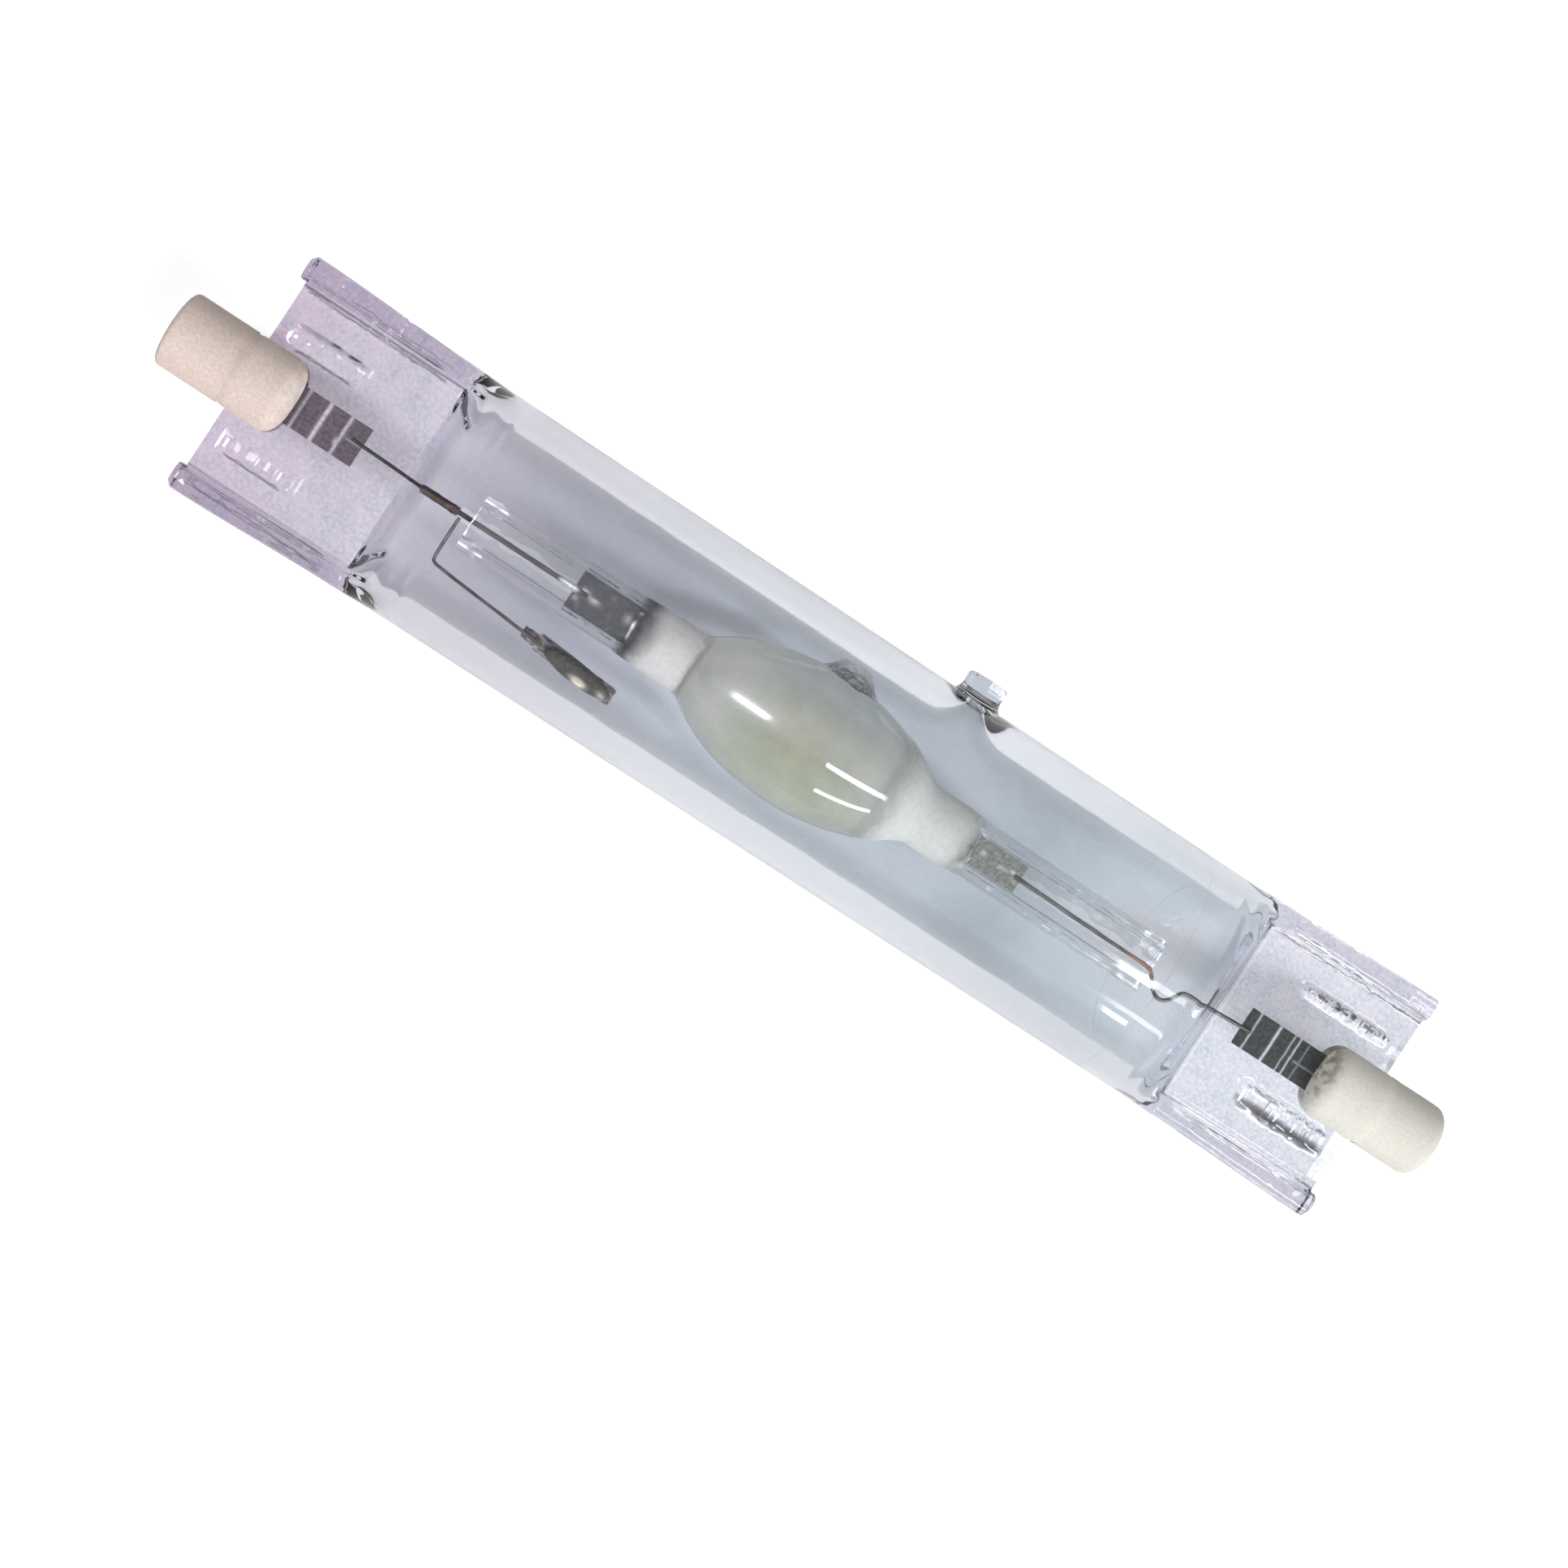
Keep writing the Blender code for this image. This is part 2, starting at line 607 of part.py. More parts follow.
def burner_tip():
    """The uneven bump left where the arc tube was filled and sealed, on the bulb's +Y side."""
    base = sqrt((BULB_DIAMETER / 2) ** 2 - (TIP_BASE_DIAMETER / 2) ** 2)
    top = BORE_RADIUS - TIP_CLEARANCE
    sections = []
    for share in spaced(0.0, 1.0, 5):
        radius = TIP_BASE_DIAMETER / 2 * (1 - 0.78 * share**1.3)
        y = base + (top - base) * sin(pi / 2 * share)
        angles = [2 * pi * k / TIP_SIDES for k in range(TIP_SIDES)]
        sections.append([Vector((TIP_PLACE + radius * cos(a), y, radius * sin(a))) for a in angles])
    return loft_mesh("burner_tip", sections)


def burner_chamber():
    bm = bmesh.new()
    bmesh.ops.create_uvsphere(bm, u_segments=24, v_segments=16, radius=1.0)
    half = Vector((CHAMBER_DIAMETER / 2, CHAMBER_DIAMETER / 2, CHAMBER_LENGTH / 2))
    for vert in bm.verts:
        x, y, z = (a * b for a, b in zip(vert.co, half))
        vert.co = Vector((z + BULB_PLACE, y, -x))
    return mesh_of("burner_chamber", bm)


def build_arc_tube():
    bulb_half = BULB_LENGTH / 2
    bulb = [BULB_PLACE - bulb_half * cos(pi * k / 18) for k in range(1, 18)]
    stations = [-STEM_END["left"]]
    stations += sorted(-NECK_END["left"] - NECK_BLEND * k / 3 for k in range(4)) + bulb
    stations += [NECK_END["right"] + NECK_BLEND * k / 3 for k in range(4)] + [STEM_END["right"]]
    arc_tube = add_object(
        "arc_tube", loft_mesh("arc_tube", [burner_section(x) for x in stations]), BURNER_QUARTZ
    )
    boolean(arc_tube, add_cutter("burner_tip", burner_tip()), "UNION")
    boolean(arc_tube, add_cutter("burner_chamber", burner_chamber()), "DIFFERENCE")
    for side_name in SIDES:
        foil = (CHAMBER_END[side_name] - BULB_END_WALL, *arc_foil_ends(side_name))
        diameter = max(ELECTRODE_DIAMETER, INNER_LEAD_DIAMETER)
        end = STEM_END[side_name] + FIT_GAP
        seal_channel(side_name, arc_tube, diameter, foil, ARC_FOIL_WIDTH, end)


def build_electrodes():
    for side_name, side in SIDES.items():
        tip = CHAMBER_END[side_name] - ELECTRODE_REACH
        rod = straight(side, tip, arc_foil_ends(side_name)[0] - WIRE_GAP)
        wire(f"{side_name}_electrode_rod", rod, ELECTRODE_DIAMETER, TUNGSTEN)
        pitch = COIL_WIRE_DIAMETER + WIRE_GAP
        radius = ELECTRODE_DIAMETER / 2 + WIRE_GAP + COIL_WIRE_DIAMETER / 2
        points = []
        for k in range(COIL_TURNS * COIL_POINTS_PER_TURN + 1):
            turn = k / COIL_POINTS_PER_TURN
            distance = tip + COIL_SET_BACK + pitch * turn
            angle = 2 * pi * turn
            points.append((side * distance, radius * cos(angle), radius * sin(angle)))
        wire(f"{side_name}_electrode_coil", points, COIL_WIRE_DIAMETER, TUNGSTEN)


def build_coatings():
    for side_name, side in SIDES.items():
        start = CHAMBER_END[side_name] + COATING_OFFSET[side_name]
        distances = spaced(start, start + COATING_LENGTH[side_name], COATING_STEPS)
        inner = [burner_section(side * d, WIRE_GAP) for d in distances]
        outer = [burner_section(side * d, WIRE_GAP + COATING_THICKNESS) for d in distances]
        mesh = sleeve_mesh(f"{side_name}_end_coating", outer, inner)
        add_object(f"{side_name}_end_coating", mesh, WHITE_COAT)


def build_fill():
    """A thin dried puddle of salt and one bead of mercury at the bottom of the chamber."""
    floor = CHAMBER_DIAMETER / 2
    sections = []
    for share in spaced(-1.0, 1.0, 8):
        x = BULB_PLACE + DEPOSIT_LENGTH / 2 * share
        half_width = max(DEPOSIT_WIDTH / 2 * sqrt(1 - share**2), DEPOSIT_END_WIDTH / 2)
        radius = floor * sqrt(1 - ((x - BULB_PLACE) / (CHAMBER_LENGTH / 2)) ** 2) - WIRE_GAP
        under = [(y, -sqrt(radius**2 - y**2)) for y in spaced(-half_width, half_width, 6)]
        over = [(y, z + DEPOSIT_THICKNESS) for y, z in reversed(under)]
        sections.append([Vector((x, y, z + FIT_GAP / 2)) for y, z in under + over])
    add_object("halide_deposit", loft_mesh("halide_deposit", sections), HALIDE_SALT)
    bm = bmesh.new()
    bmesh.ops.create_uvsphere(bm, u_segments=12, v_segments=8, radius=MERCURY_DIAMETER / 2)
    bead = add_object("mercury_bead", mesh_of("mercury_bead", bm), MERCURY)
    place = BULB_PLACE + DEPOSIT_LENGTH / 2 + MERCURY_DIAMETER / 2 + WIRE_GAP
    drop = floor * sqrt(1 - ((place - BULB_PLACE) / (CHAMBER_LENGTH / 2)) ** 2)
    bead.location = (place, 0.0, -drop + MERCURY_DIAMETER / 2 + FIT_GAP)


# Getter


def build_getter():
    lead_side = -INNER_LEAD_DIAMETER / 2 - WIRE_GAP
    bend = Vector((GETTER_WIRE_PLACE, -GETTER_DROP, 0.0))
    run = Vector((1.0, -GETTER_SLOPE, 0.0))
    end = bend + run * (STRIP_PLACE + STRIP_LAP_SHARE * STRIP_LENGTH - GETTER_WIRE_PLACE)
    radius = 1.5 * GETTER_WIRE_DIAMETER
    rounding = radius * Vector((0.3, 0.25, 0.0))
    corner = [bend + Vector((0.0, radius, 0.0)), bend + rounding, bend + run * radius]
    points = [(GETTER_WIRE_PLACE, lead_side, 0.0), *corner, end]
    wire("getter_wire", points, GETTER_WIRE_DIAMETER, WIRE_METAL)

    middle = bend + run * (STRIP_PLACE + STRIP_LENGTH / 2 - GETTER_WIRE_PLACE)
    across = Vector((0.0, cos(STRIP_TILT), sin(STRIP_TILT)))
    out = Vector((0.0, -sin(STRIP_TILT), cos(STRIP_TILT)))
    below = middle - out * (GETTER_WIRE_DIAMETER / 2 + WIRE_GAP + STRIP_THICKNESS / 2)
    outline = strip_outline()
    layers = (-STRIP_THICKNESS / 2, STRIP_THICKNESS / 2)
    sections = [[below + run * x + across * w + out * h for x, w in outline] for h in layers]
    add_object("getter_strip", loft_mesh("getter_strip", sections), GETTER_METAL)

    seat = STRIP_THICKNESS / 2 + WIRE_GAP
    pellet_middle = STRIP_LENGTH / 2 - PELLET_LENGTH / 2 - PELLET_END_MARGIN
    sections = []
    for height, shrink in ((0.0, 1.0), (0.6, 0.96), (0.9, 0.80), (1.0, 0.55)):
        ring = []
        for k in range(24):
            x = pellet_middle + shrink * PELLET_LENGTH / 2 * cos(2 * pi * k / 24)
            w = shrink * PELLET_WIDTH / 2 * sin(2 * pi * k / 24)
            ring.append(below + run * x + across * w + out * (seat + height * PELLET_HEIGHT))
        sections.append(ring)
    add_object("getter_pellet", loft_mesh("getter_pellet", sections), PELLET)


def strip_outline():
    """A strip square at its wire and round at its free end."""
    half_length, half_width = STRIP_LENGTH / 2, STRIP_WIDTH / 2
    angles = spaced(-pi / 2, pi / 2, 8)
    end_centre = half_length - half_width
    round_end = [(end_centre + half_width * cos(a), half_width * sin(a)) for a in angles]
    return [(-half_length, -half_width), *round_end, (-half_length, half_width)]


build_envelope()
for cap_side in SIDES:
    build_cap(cap_side)
    build_cement(cap_side)
build_leads()
build_sleeve()
build_arc_tube()
build_electrodes()
build_coatings()
build_fill()
build_getter()
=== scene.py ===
"""The looks of the double-ended metal halide lamp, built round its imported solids.

X runs along the lamp, +Y is the side of the exhaust stub, and +Z faces the camera. Lengths are in
millimetres until a mesh, a light or the camera is made. Inside a material, places are read in metres.
"""

from math import cos, pi, radians, sin, sqrt

import bpy
import numpy as np
from mathutils import Matrix, Vector, noise


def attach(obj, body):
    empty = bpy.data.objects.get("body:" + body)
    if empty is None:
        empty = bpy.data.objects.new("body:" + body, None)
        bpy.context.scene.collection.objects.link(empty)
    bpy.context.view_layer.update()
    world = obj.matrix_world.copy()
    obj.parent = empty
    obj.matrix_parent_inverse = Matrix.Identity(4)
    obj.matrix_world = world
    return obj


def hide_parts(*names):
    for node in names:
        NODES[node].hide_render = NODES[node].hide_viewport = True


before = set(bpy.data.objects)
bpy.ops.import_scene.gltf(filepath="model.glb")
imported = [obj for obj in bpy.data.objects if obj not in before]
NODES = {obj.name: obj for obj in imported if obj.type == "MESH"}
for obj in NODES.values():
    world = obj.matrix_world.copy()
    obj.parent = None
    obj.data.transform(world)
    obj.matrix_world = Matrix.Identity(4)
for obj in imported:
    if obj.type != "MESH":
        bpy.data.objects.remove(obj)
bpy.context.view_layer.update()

MM = 0.001
SIDES = {"left": -1, "right": 1}

# The envelope, as the solids have it
TUBE_RADIUS = 11.65
TUBE_BOTTOM = -TUBE_RADIUS * cos(radians(3.75))
BORE_RADIUS = 8.9
PINCH_START = 44.3
PINCH_END = 62.2
WEB_END = 61.6
WEB_HALF = 1.2
RAIL_OUTER_EDGE = 12.1
RAIL_INNER_EDGE = 9.7
RAIL_TOP = 2.4
RAIL_ROUND = 0.7
RAIL_BLEND = 2.8
RAIL_FLARE = 0.4
SHOULDER_LENGTH = 3.8
SHOULDER_SLOPE = (TUBE_RADIUS - WEB_HALF) / SHOULDER_LENGTH
BORE_FOOT = 43.9
BORE_END = 44.6
BORE_END_HALF = 0.03
BORE_END_SIDE = 10.4
STUB_X = 9.2
STUB_TOP = 13.84

# What the photograph shows finer: ribs by end and side, the feet's places, two swellings of the wall
RIBS = {(-1, 1): (4.3, 6.5), (-1, -1): (4.8, 7.2), (1, 1): (5.3, 6.8), (1, -1): (4.2, 6.8)}
RIB_HEIGHT = {-1: 0.20, 1: 0.30}
RIB_START = {-1: 52.8, 1: 50.3}
RIB_END = 60.4
RIDGES = {-1: (46.6, 48.3, 50.1, 51.9, 54.1, 56.3, 58.5), 1: (45.6, 47.4, 49.6, 51.8, 54.0, 56.2, 58.4)}
FOOT_SHIFT = {-1: 0.5, 1: -0.2}
SWELLING_START = 35.0
SWELLING_RATE = 0.03
BULGE = 1.4
BULGE_HALF = 2.1

# The arc tube
BULB_X = -2.4
BULB_HALF = 13.3
BULB_RADIUS = 6.8
NECK_RADIUS = 2.9
NECK_END = {"left": 18.2, "right": 13.8}
STEM_END = {"left": 38.15, "right": 36.65}
CHAMBER_X = -2.6
CHAMBER_HALF = 12.4
CHAMBER_RADIUS = 5.5
TIP_OFF_X = -1.7
TIP_OFF_REACH = 3.3
TIP_OFF_HEIGHT = 1.9
TIP_OFF_TOP = 8.72

# The caps
CAP_RADIUS = 3.7
CAP_SWELL = 0.2
CAP_TIP = {"left": 56.6, "right": 55.5}
CAP_END = 69.0
SLOT_END = 62.75
SLOT_HALF = 1.26
RECESS_RADIUS = 2.1
RECESS_FLOOR = 64.9
HOLE_RADIUS = 1.25
HOLE_FLOOR = 62.8

# The getter's bent wire and the strip on it
GETTER_BEND = Vector((-39.25, -5.0, 0.0))
GETTER_RUN = Vector((1.0, -0.085, 0.0))
GETTER_TILT = 0.4
STRIP_PLACE = 15.2
STRIP_HALF_LENGTH = 5.0
STRIP_HALF_WIDTH = 1.0

QUARTZ_IOR = 1.46
SHOULDER_IOR = 1.10

# Painted dark lines and painted glints along X in the pinches, standing for light and shade in the pressed
# glass: from x, to x, y, half width, tone (below 1 a dark line, above 1 a glint), broken up or not
PAINTED_PINCH_LINES = (
    (-59.6, -53.4, 4.2, 0.20, 0.40, False),
    (-59.8, -53.6, -7.0, 0.20, 0.35, False),
    (-57.1, -55.7, 6.3, 0.22, 0.15, False),
    (-55.3, -53.7, 6.3, 0.24, 0.10, False),
    (-61.5, -46.5, 9.15, 0.16, 0.35, False),
    (-57.5, -46.5, 10.4, 0.12, 0.50, False),
    (-61.5, -47.0, -10.9, 0.14, 0.45, False),
    (50.3, 60.3, 6.25, 0.34, 0.10, True),
    (51.0, 60.0, 5.65, 0.40, 1.9, True),
    (50.6, 60.2, -4.5, 0.30, 0.25, True),
    (50.8, 56.5, -4.75, 0.34, 2.0, True),
    (50.6, 60.6, -6.0, 0.62, 0.30, False),
    (52.5, 60.4, -6.25, 0.42, 0.45, False),
    (52.6, 54.4, -6.75, 0.34, 2.2, False),
    (45.0, 59.8, 9.3, 0.14, 0.20, False),
    (45.3, 59.0, 9.75, 0.26, 1.55, False),
    (45.3, 59.8, -9.8, 0.65, 1.60, False),
)

# Tints of the glass and the fog along or across the lamp, each as a share of the way and a colour. The bore's
# tints, above 1 at the ends and darkest along the middle, also carry painted light and shade.
ENVELOPE_TINTS = (
    (0.0, (0.57, 0.475, 0.58)),
    (0.11, (0.585, 0.55, 0.625)),
    (0.22, (0.64, 0.62, 0.685)),
    (0.40, (0.69, 0.72, 0.77)),
    (0.62, (0.69, 0.725, 0.775)),
    (0.76, (0.61, 0.65, 0.70)),
    (0.88, (0.69, 0.71, 0.765)),
    (1.0, (0.635, 0.655, 0.705)),
)
BORE_TINT_LIGHT_AND_SHADE = (
    (0.0, (1.15, 1.15, 1.2)),
    (0.018, (0.95, 0.95, 1.0)),
    (0.04, (0.50, 0.52, 0.56)),
    (0.174, (0.335, 0.355, 0.39)),
    (0.5, (0.335, 0.36, 0.39)),
    (0.764, (0.325, 0.375, 0.395)),
    (0.878, (0.63, 0.72, 0.75)),
    (0.94, (0.66, 0.75, 0.77)),
    (0.965, (0.85, 0.93, 0.96)),
    (1.0, (1.10, 1.16, 1.18)),
)
FOG_TINTS = (
    (0.03, (0.86, 0.88, 0.70)),
    (0.14, (0.68, 0.72, 0.52)),
    (0.25, (0.70, 0.73, 0.555)),
    (0.36, (0.60, 0.63, 0.485)),
    (0.47, (0.74, 0.75, 0.63)),
    (0.58, (0.84, 0.85, 0.755)),
    (0.69, (0.78, 0.80, 0.755)),
    (0.81, (0.66, 0.70, 0.725)),
    (0.95, (0.66, 0.715, 0.76)),
)


# Mesh helpers


def eased(share):
    share = np.clip(share, 0.0, 1.0)
    return share * share * (3 - 2 * share)


def bump(value, centre, width):
    return np.exp(-(((value - centre) / width) ** 2))


def ripple(x, y, z, scale, seed=0.0):
    """Smooth noise from -1 to 1 at a point in millimetres."""
    return noise.noise(Vector((x / scale + seed, y / scale - seed, z / scale + 2 * seed)))


def circle(steps):
    """The angles of a round ring's points."""
    return [2 * pi * k / steps for k in range(steps)]


def soften(mesh, angle):
    """Shades a mesh smoothly, except where its faces meet at more than an angle."""
    mesh.shade_smooth()
    mesh.set_sharp_from_angle(angle=angle)


def finish_mesh(name, verts, faces, material, angle=0.6):
    mesh = bpy.data.meshes.new(name)
    mesh.from_pydata([tuple(v) for v in np.asarray(verts) * MM], [], faces)
    mesh.materials.append(material)
    soften(mesh, angle)
    mesh.update()
    obj = bpy.data.objects.new(name, mesh)
    bpy.context.scene.collection.objects.link(obj)
    return obj


def ring_faces(stations, count):
    faces = []
    for s in range(stations - 1):
        a, b = s * count, (s + 1) * count
        for k in range(count):
            n = (k + 1) % count
            faces.append((a + k, a + n, b + n, b + k))
    return faces


def signed_volume(verts, faces):
    total = 0.0
    for face in faces:
        a = verts[face[0]]
        for i in range(1, len(face) - 1):
            total += np.dot(a, np.cross(verts[face[i]], verts[face[i + 1]]))
    return total


def oriented(verts, faces, outward=True):
    """The same faces, all turned outward, or inward for a hollow."""
    if (signed_volume(verts, faces) > 0) != outward:
        return [tuple(reversed(face)) for face in faces]
    return faces


def tube_skin(rings, outward=True, strip_ends=True):
    """A closed skin over rings of equal count. Strip ends join each point to its mirror across z."""
    stations, count = len(rings), len(rings[0])
    verts = np.concatenate([np.asarray(ring, float) for ring in rings])
    faces = ring_faces(stations, count)
    end = [range(count)]
    if strip_ends:
        end = [(i, i + 1, count - 2 - i, count - 1 - i) for i in range(count // 2 - 1)]
    for first, winding in ((0, -1), ((stations - 1) * count, 1)):
        faces += [tuple(first + i for i in face)[::winding] for face in end]
    return verts, oriented(verts, faces, outward)


def sheet_faces(rows, cols):
    """The faces of a thin sheet: a grid of points above, the same grid below, and the rim between them."""
    low = rows * cols
    faces = []
    for base, winding in ((0, 1), (low, -1)):
        for i in range(rows - 1):
            for j in range(cols - 1):
                a = base + i * cols + j
                faces.append((a, a + 1, a + cols + 1, a + cols)[::winding])
    rim = list(range(cols)) + [i * cols + cols - 1 for i in range(1, rows)]
    rim += [low - cols + j for j in range(cols - 2, -1, -1)] + [i * cols for i in range(rows - 2, 0, -1)]
    return faces + [(b, a, a + low, b + low) for a, b in zip(rim, rim[1:] + rim[:1])]


def thin_sheet(name, lengthwise, crosswise, point_at, material, angle=1.2):
    """A closed sheet from a function that places the point of a layer, 1 or -1, at two places."""
    verts = np.array([point_at(layer, d, s) for layer in (1, -1) for d in lengthwise for s in crosswise])
    faces = oriented(verts, sheet_faces(len(lengthwise), len(crosswise)))
    return finish_mesh(name, verts, faces, material, angle)


def mark_bare(obj, bare):
    """Stores how bare the metal is at each point, which the material reads."""
    attribute = obj.data.attributes.new("bare", "FLOAT", "POINT")
    attribute.data.foreach_set("value", np.array(bare, np.float32))


def mirrored_ring(x, y, z):
    """A whole ring across the lamp at x, from its +Y +Z quarter listed from the side to the middle."""
    ys = np.concatenate([y, -y[::-1], -y, y[::-1]])
    zs = np.concatenate([z, z[::-1], -z, -z[::-1]])
    return np.stack([np.full(len(ys), float(x)), ys, zs], axis=1)


def rounded(corners, spans, places, shifts):
    """A quarter outline read at places along its corners, which averaging over the shifts rounds off."""
    at = np.array([-0.5, *range(spans), spans - 0.5])
    total = np.zeros((len(places), 2))
    for shift in shifts:
        near = np.clip(places + shift, -0.5, spans - 0.5)
        total += np.stack([np.interp(near, at, corners[:, i]) for i in (0, 1)], axis=1)
    return total / len(shifts)


def combine(obj, other, operation):
    """Unites a piece with another mesh, or cuts that out of it, and removes the other."""
    modifier = obj.modifiers.new("combine", "BOOLEAN")
    modifier.operation, modifier.solver, modifier.object = operation, "EXACT", other
    graph = bpy.context.evaluated_depsgraph_get()
    made = bpy.data.meshes.new_from_object(obj.evaluated_get(graph))
    obj.modifiers.clear()
    obj.data = made
    bpy.data.objects.remove(other, do_unlink=True)


def add_hollow(obj, skin, material, angle):
    """Joins a hollow's skin to a piece, so that glass has a wall."""
    base, (verts, faces) = obj.data, skin
    first = len(base.vertices)
    places = [v.co[:] for v in base.vertices] + [tuple(v) for v in verts * MM]
    polygons = [tuple(p.vertices) for p in base.polygons] + [tuple(i + first for i in face) for face in faces]
    mesh = bpy.data.meshes.new(obj.name)
    mesh.from_pydata(places, [], polygons)
    for made in (*base.materials, material):
        mesh.materials.append(made)
    kinds = [p.material_index for p in base.polygons] + [len(base.materials)] * len(faces)
    mesh.polygons.foreach_set("material_index", kinds)
    mesh.update()
    soften(mesh, angle)
    obj.data = mesh


def ride(obj, replaced):
    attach(obj, "root")
    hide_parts(replaced)


# Material helpers


class Current:
    """The material or world that is being built, to whose tree put() adds its nodes."""

    owner = None


def begin(owner):
    owner.use_nodes = True
    owner.node_tree.nodes.clear()
    Current.owner = owner


def put(kind, inputs=None, **settings):
    """A node with its settings, and with its inputs linked to sockets or set to values."""
    tree = Current.owner.node_tree
    made = tree.nodes.new(kind)
    for key, value in settings.items():
        setattr(made, key, value)
    for key, value in (inputs or {}).items():
        socket = made.inputs[key]
        if isinstance(value, bpy.types.NodeSocket):
            tree.links.new(value, socket)
        else:
            socket.default_value = (*value, 1.0) if socket.type == "RGBA" else value
    return made


def show(socket):
    """Ends the material that was begun, and returns it."""
    put("ShaderNodeOutputMaterial", {"Surface": socket})
    return Current.owner


def principled(inputs):
    return put("ShaderNodeBsdfPrincipled", inputs).outputs[0]


def place():
    return put("ShaderNodeTexCoord").outputs["Object"]


def axis(letter):
    """The place along one axis, in metres."""
    return put("ShaderNodeSeparateXYZ", {"Vector": place()}).outputs[letter]


def grain(size, detail=3.0, stretch=(1.0, 1.0, 1.0)):
    """Noise whose blobs are about size millimetres across."""
    scaled = put("ShaderNodeMapping", {"Vector": place(), "Scale": stretch})
    inputs = {"Vector": scaled.outputs[0], "Scale": 1.0 / (size * MM), "Detail": detail}
    return put("ShaderNodeTexNoise", inputs).outputs["Fac"]


def mapped(value, low, high, to_low=0.0, to_high=1.0, smooth=True):
    inputs = {"Value": value, "From Min": low, "From Max": high, "To Min": to_low, "To Max": to_high}
    kind = "SMOOTHSTEP" if smooth else "LINEAR"
    return put("ShaderNodeMapRange", inputs, interpolation_type=kind).outputs["Result"]


def ramp(value, stops):
    made = put("ShaderNodeValToRGB", {"Fac": value})
    elements = made.color_ramp.elements
    while len(elements) < len(stops):
        elements.new(0.5)
    for element, (position, colour) in zip(elements, stops):
        element.position = position
        element.color = (*colour, 1.0)
    return made.outputs["Color"]


def mixed(share, first, second, blend="MIX"):
    inputs = {0: share, 6: first, 7: second}
    return put("ShaderNodeMix", inputs, data_type="RGBA", blend_type=blend).outputs[2]


def tinted(share, colour, cast):
    """The colour multiplied by a cast over a share of the surface."""
    return mixed(share, colour, mixed(1.0, colour, cast, "MULTIPLY"))


def brightened(colour, factor):
    return put("ShaderNodeVectorMath", {0: colour, "Scale": factor}, operation="SCALE").outputs[0]


def reckoned(operation, *values):
    return put("ShaderNodeMath", dict(enumerate(values)), operation=operation).outputs[0]


def times(first, *others):
    for other in others:
        first = reckoned("MULTIPLY", first, other)
    return first


def plus(first, second):
    return reckoned("ADD", first, second)


def minus(first, second):
    return reckoned("SUBTRACT", first, second)


def larger(first, second):
    return reckoned("MAXIMUM", first, second)


def away(letter, middle=0.0):
    """How far a place is from another along one axis, in metres."""
    along = axis(letter)
    if middle:
        along = minus(along, middle)
    return reckoned("ABSOLUTE", along)


def wander(size, detail, reach, stretch=(1.0, 1.0, 1.0)):
    """Noise that strays to both sides of zero."""
    return times(minus(grain(size, detail, stretch), 0.5), reach)


def bumped(height, distance, strength=1.0, normal=None):
    inputs = {"Height": height, "Distance": distance * MM, "Strength": strength}
    if normal is not None:
        inputs["Normal"] = normal
    return put("ShaderNodeBump", inputs).outputs[0]


def drawn_line(low, high, height, half, broken=False, rise=0.0, fade=0.5):
    """An uneven line along X between two places, at a height on Y, in millimetres. Rise tilts it."""
    drift = wander(1.5, 3.0, 0.0007)
    level = minus(axis("Y"), height * MM)
    if rise:
        level = minus(level, times(minus(axis("X"), low * MM), rise))
    off = reckoned("ABSOLUTE", plus(level, drift))
    line = mapped(off, 0.2 * half * MM, half * MM, 1.0, 0.0)
    start = mapped(axis("X"), low * MM, (low + fade) * MM)
    end = mapped(axis("X"), (high - fade) * MM, high * MM, 1.0, 0.0)
    line = times(line, times(start, end))
    if broken:
        line = times(line, mapped(grain(0.55, 2.0, (1.0, 0.5, 1.0)), 0.47, 0.53))
    return line


def blended(share, first, second):
    return put("ShaderNodeMixShader", {0: share, 1: first, 2: second}).outputs[0]


def lets_light_by(surface, tint):
    """Rays from lamps and between matt surfaces pass this glass straight, so what is inside is lit."""
    path = put("ShaderNodeLightPath")
    passing = larger(path.outputs["Is Shadow Ray"], path.outputs["Is Diffuse Ray"])
    return blended(passing, surface, put("ShaderNodeBsdfTransparent", {"Color": tint}).outputs[0])


# Glass


def envelope_tint():
    """Lavender at the left end, fading to a clear blue-grey at the right one, with painted dark lines, glints
    and band light.
    """
    along = plus(axis("X"), wander(9.0, 2.0, 0.02))
    tint = ramp(mapped(along, -0.066, 0.064, smooth=False), ENVELOPE_TINTS)
    tint = mixed(mapped(away("X"), 0.041, 0.046), tint, pinch_tint(tint))
    # Painted dark lines and glints along the pinches
    for low, high, height, half, tone, broken in PAINTED_PINCH_LINES:
        tint = tinted(drawn_line(low, high, height, half, broken), tint, (tone, tone, tone))
    # A painted highlight: a light line across the foot of each shoulder, fading toward the sides
    foot_highlight = mapped(away("X", 0.0445), 0.00004, 0.00016, 1.0, 0.0)
    foot_highlight = times(foot_highlight, mapped(away("Y"), 0.0075, 0.0088, 0.8, 0.0))
    tint = tinted(foot_highlight, tint, (1.45, 1.45, 1.42))
    grain_and_band_light = mapped(grain(0.16, 2.0), 0.3, 0.7, 0.95, 1.05)
    # Painted light and shade on the edge bands: lighter on the +Y side, darker on the -Y side
    grain_and_band_light = times(grain_and_band_light, mapped(axis("Y"), 0.0082, 0.0088, 1.0, 1.045))
    grain_and_band_light = times(grain_and_band_light, mapped(axis("Y"), -0.0088, -0.0082, 0.94, 1.0))
    tint = brightened(tint, grain_and_band_light)
    return tinted(mapped(axis("Y"), 0.0116, 0.0122), tint, (0.74, 0.76, 0.78))


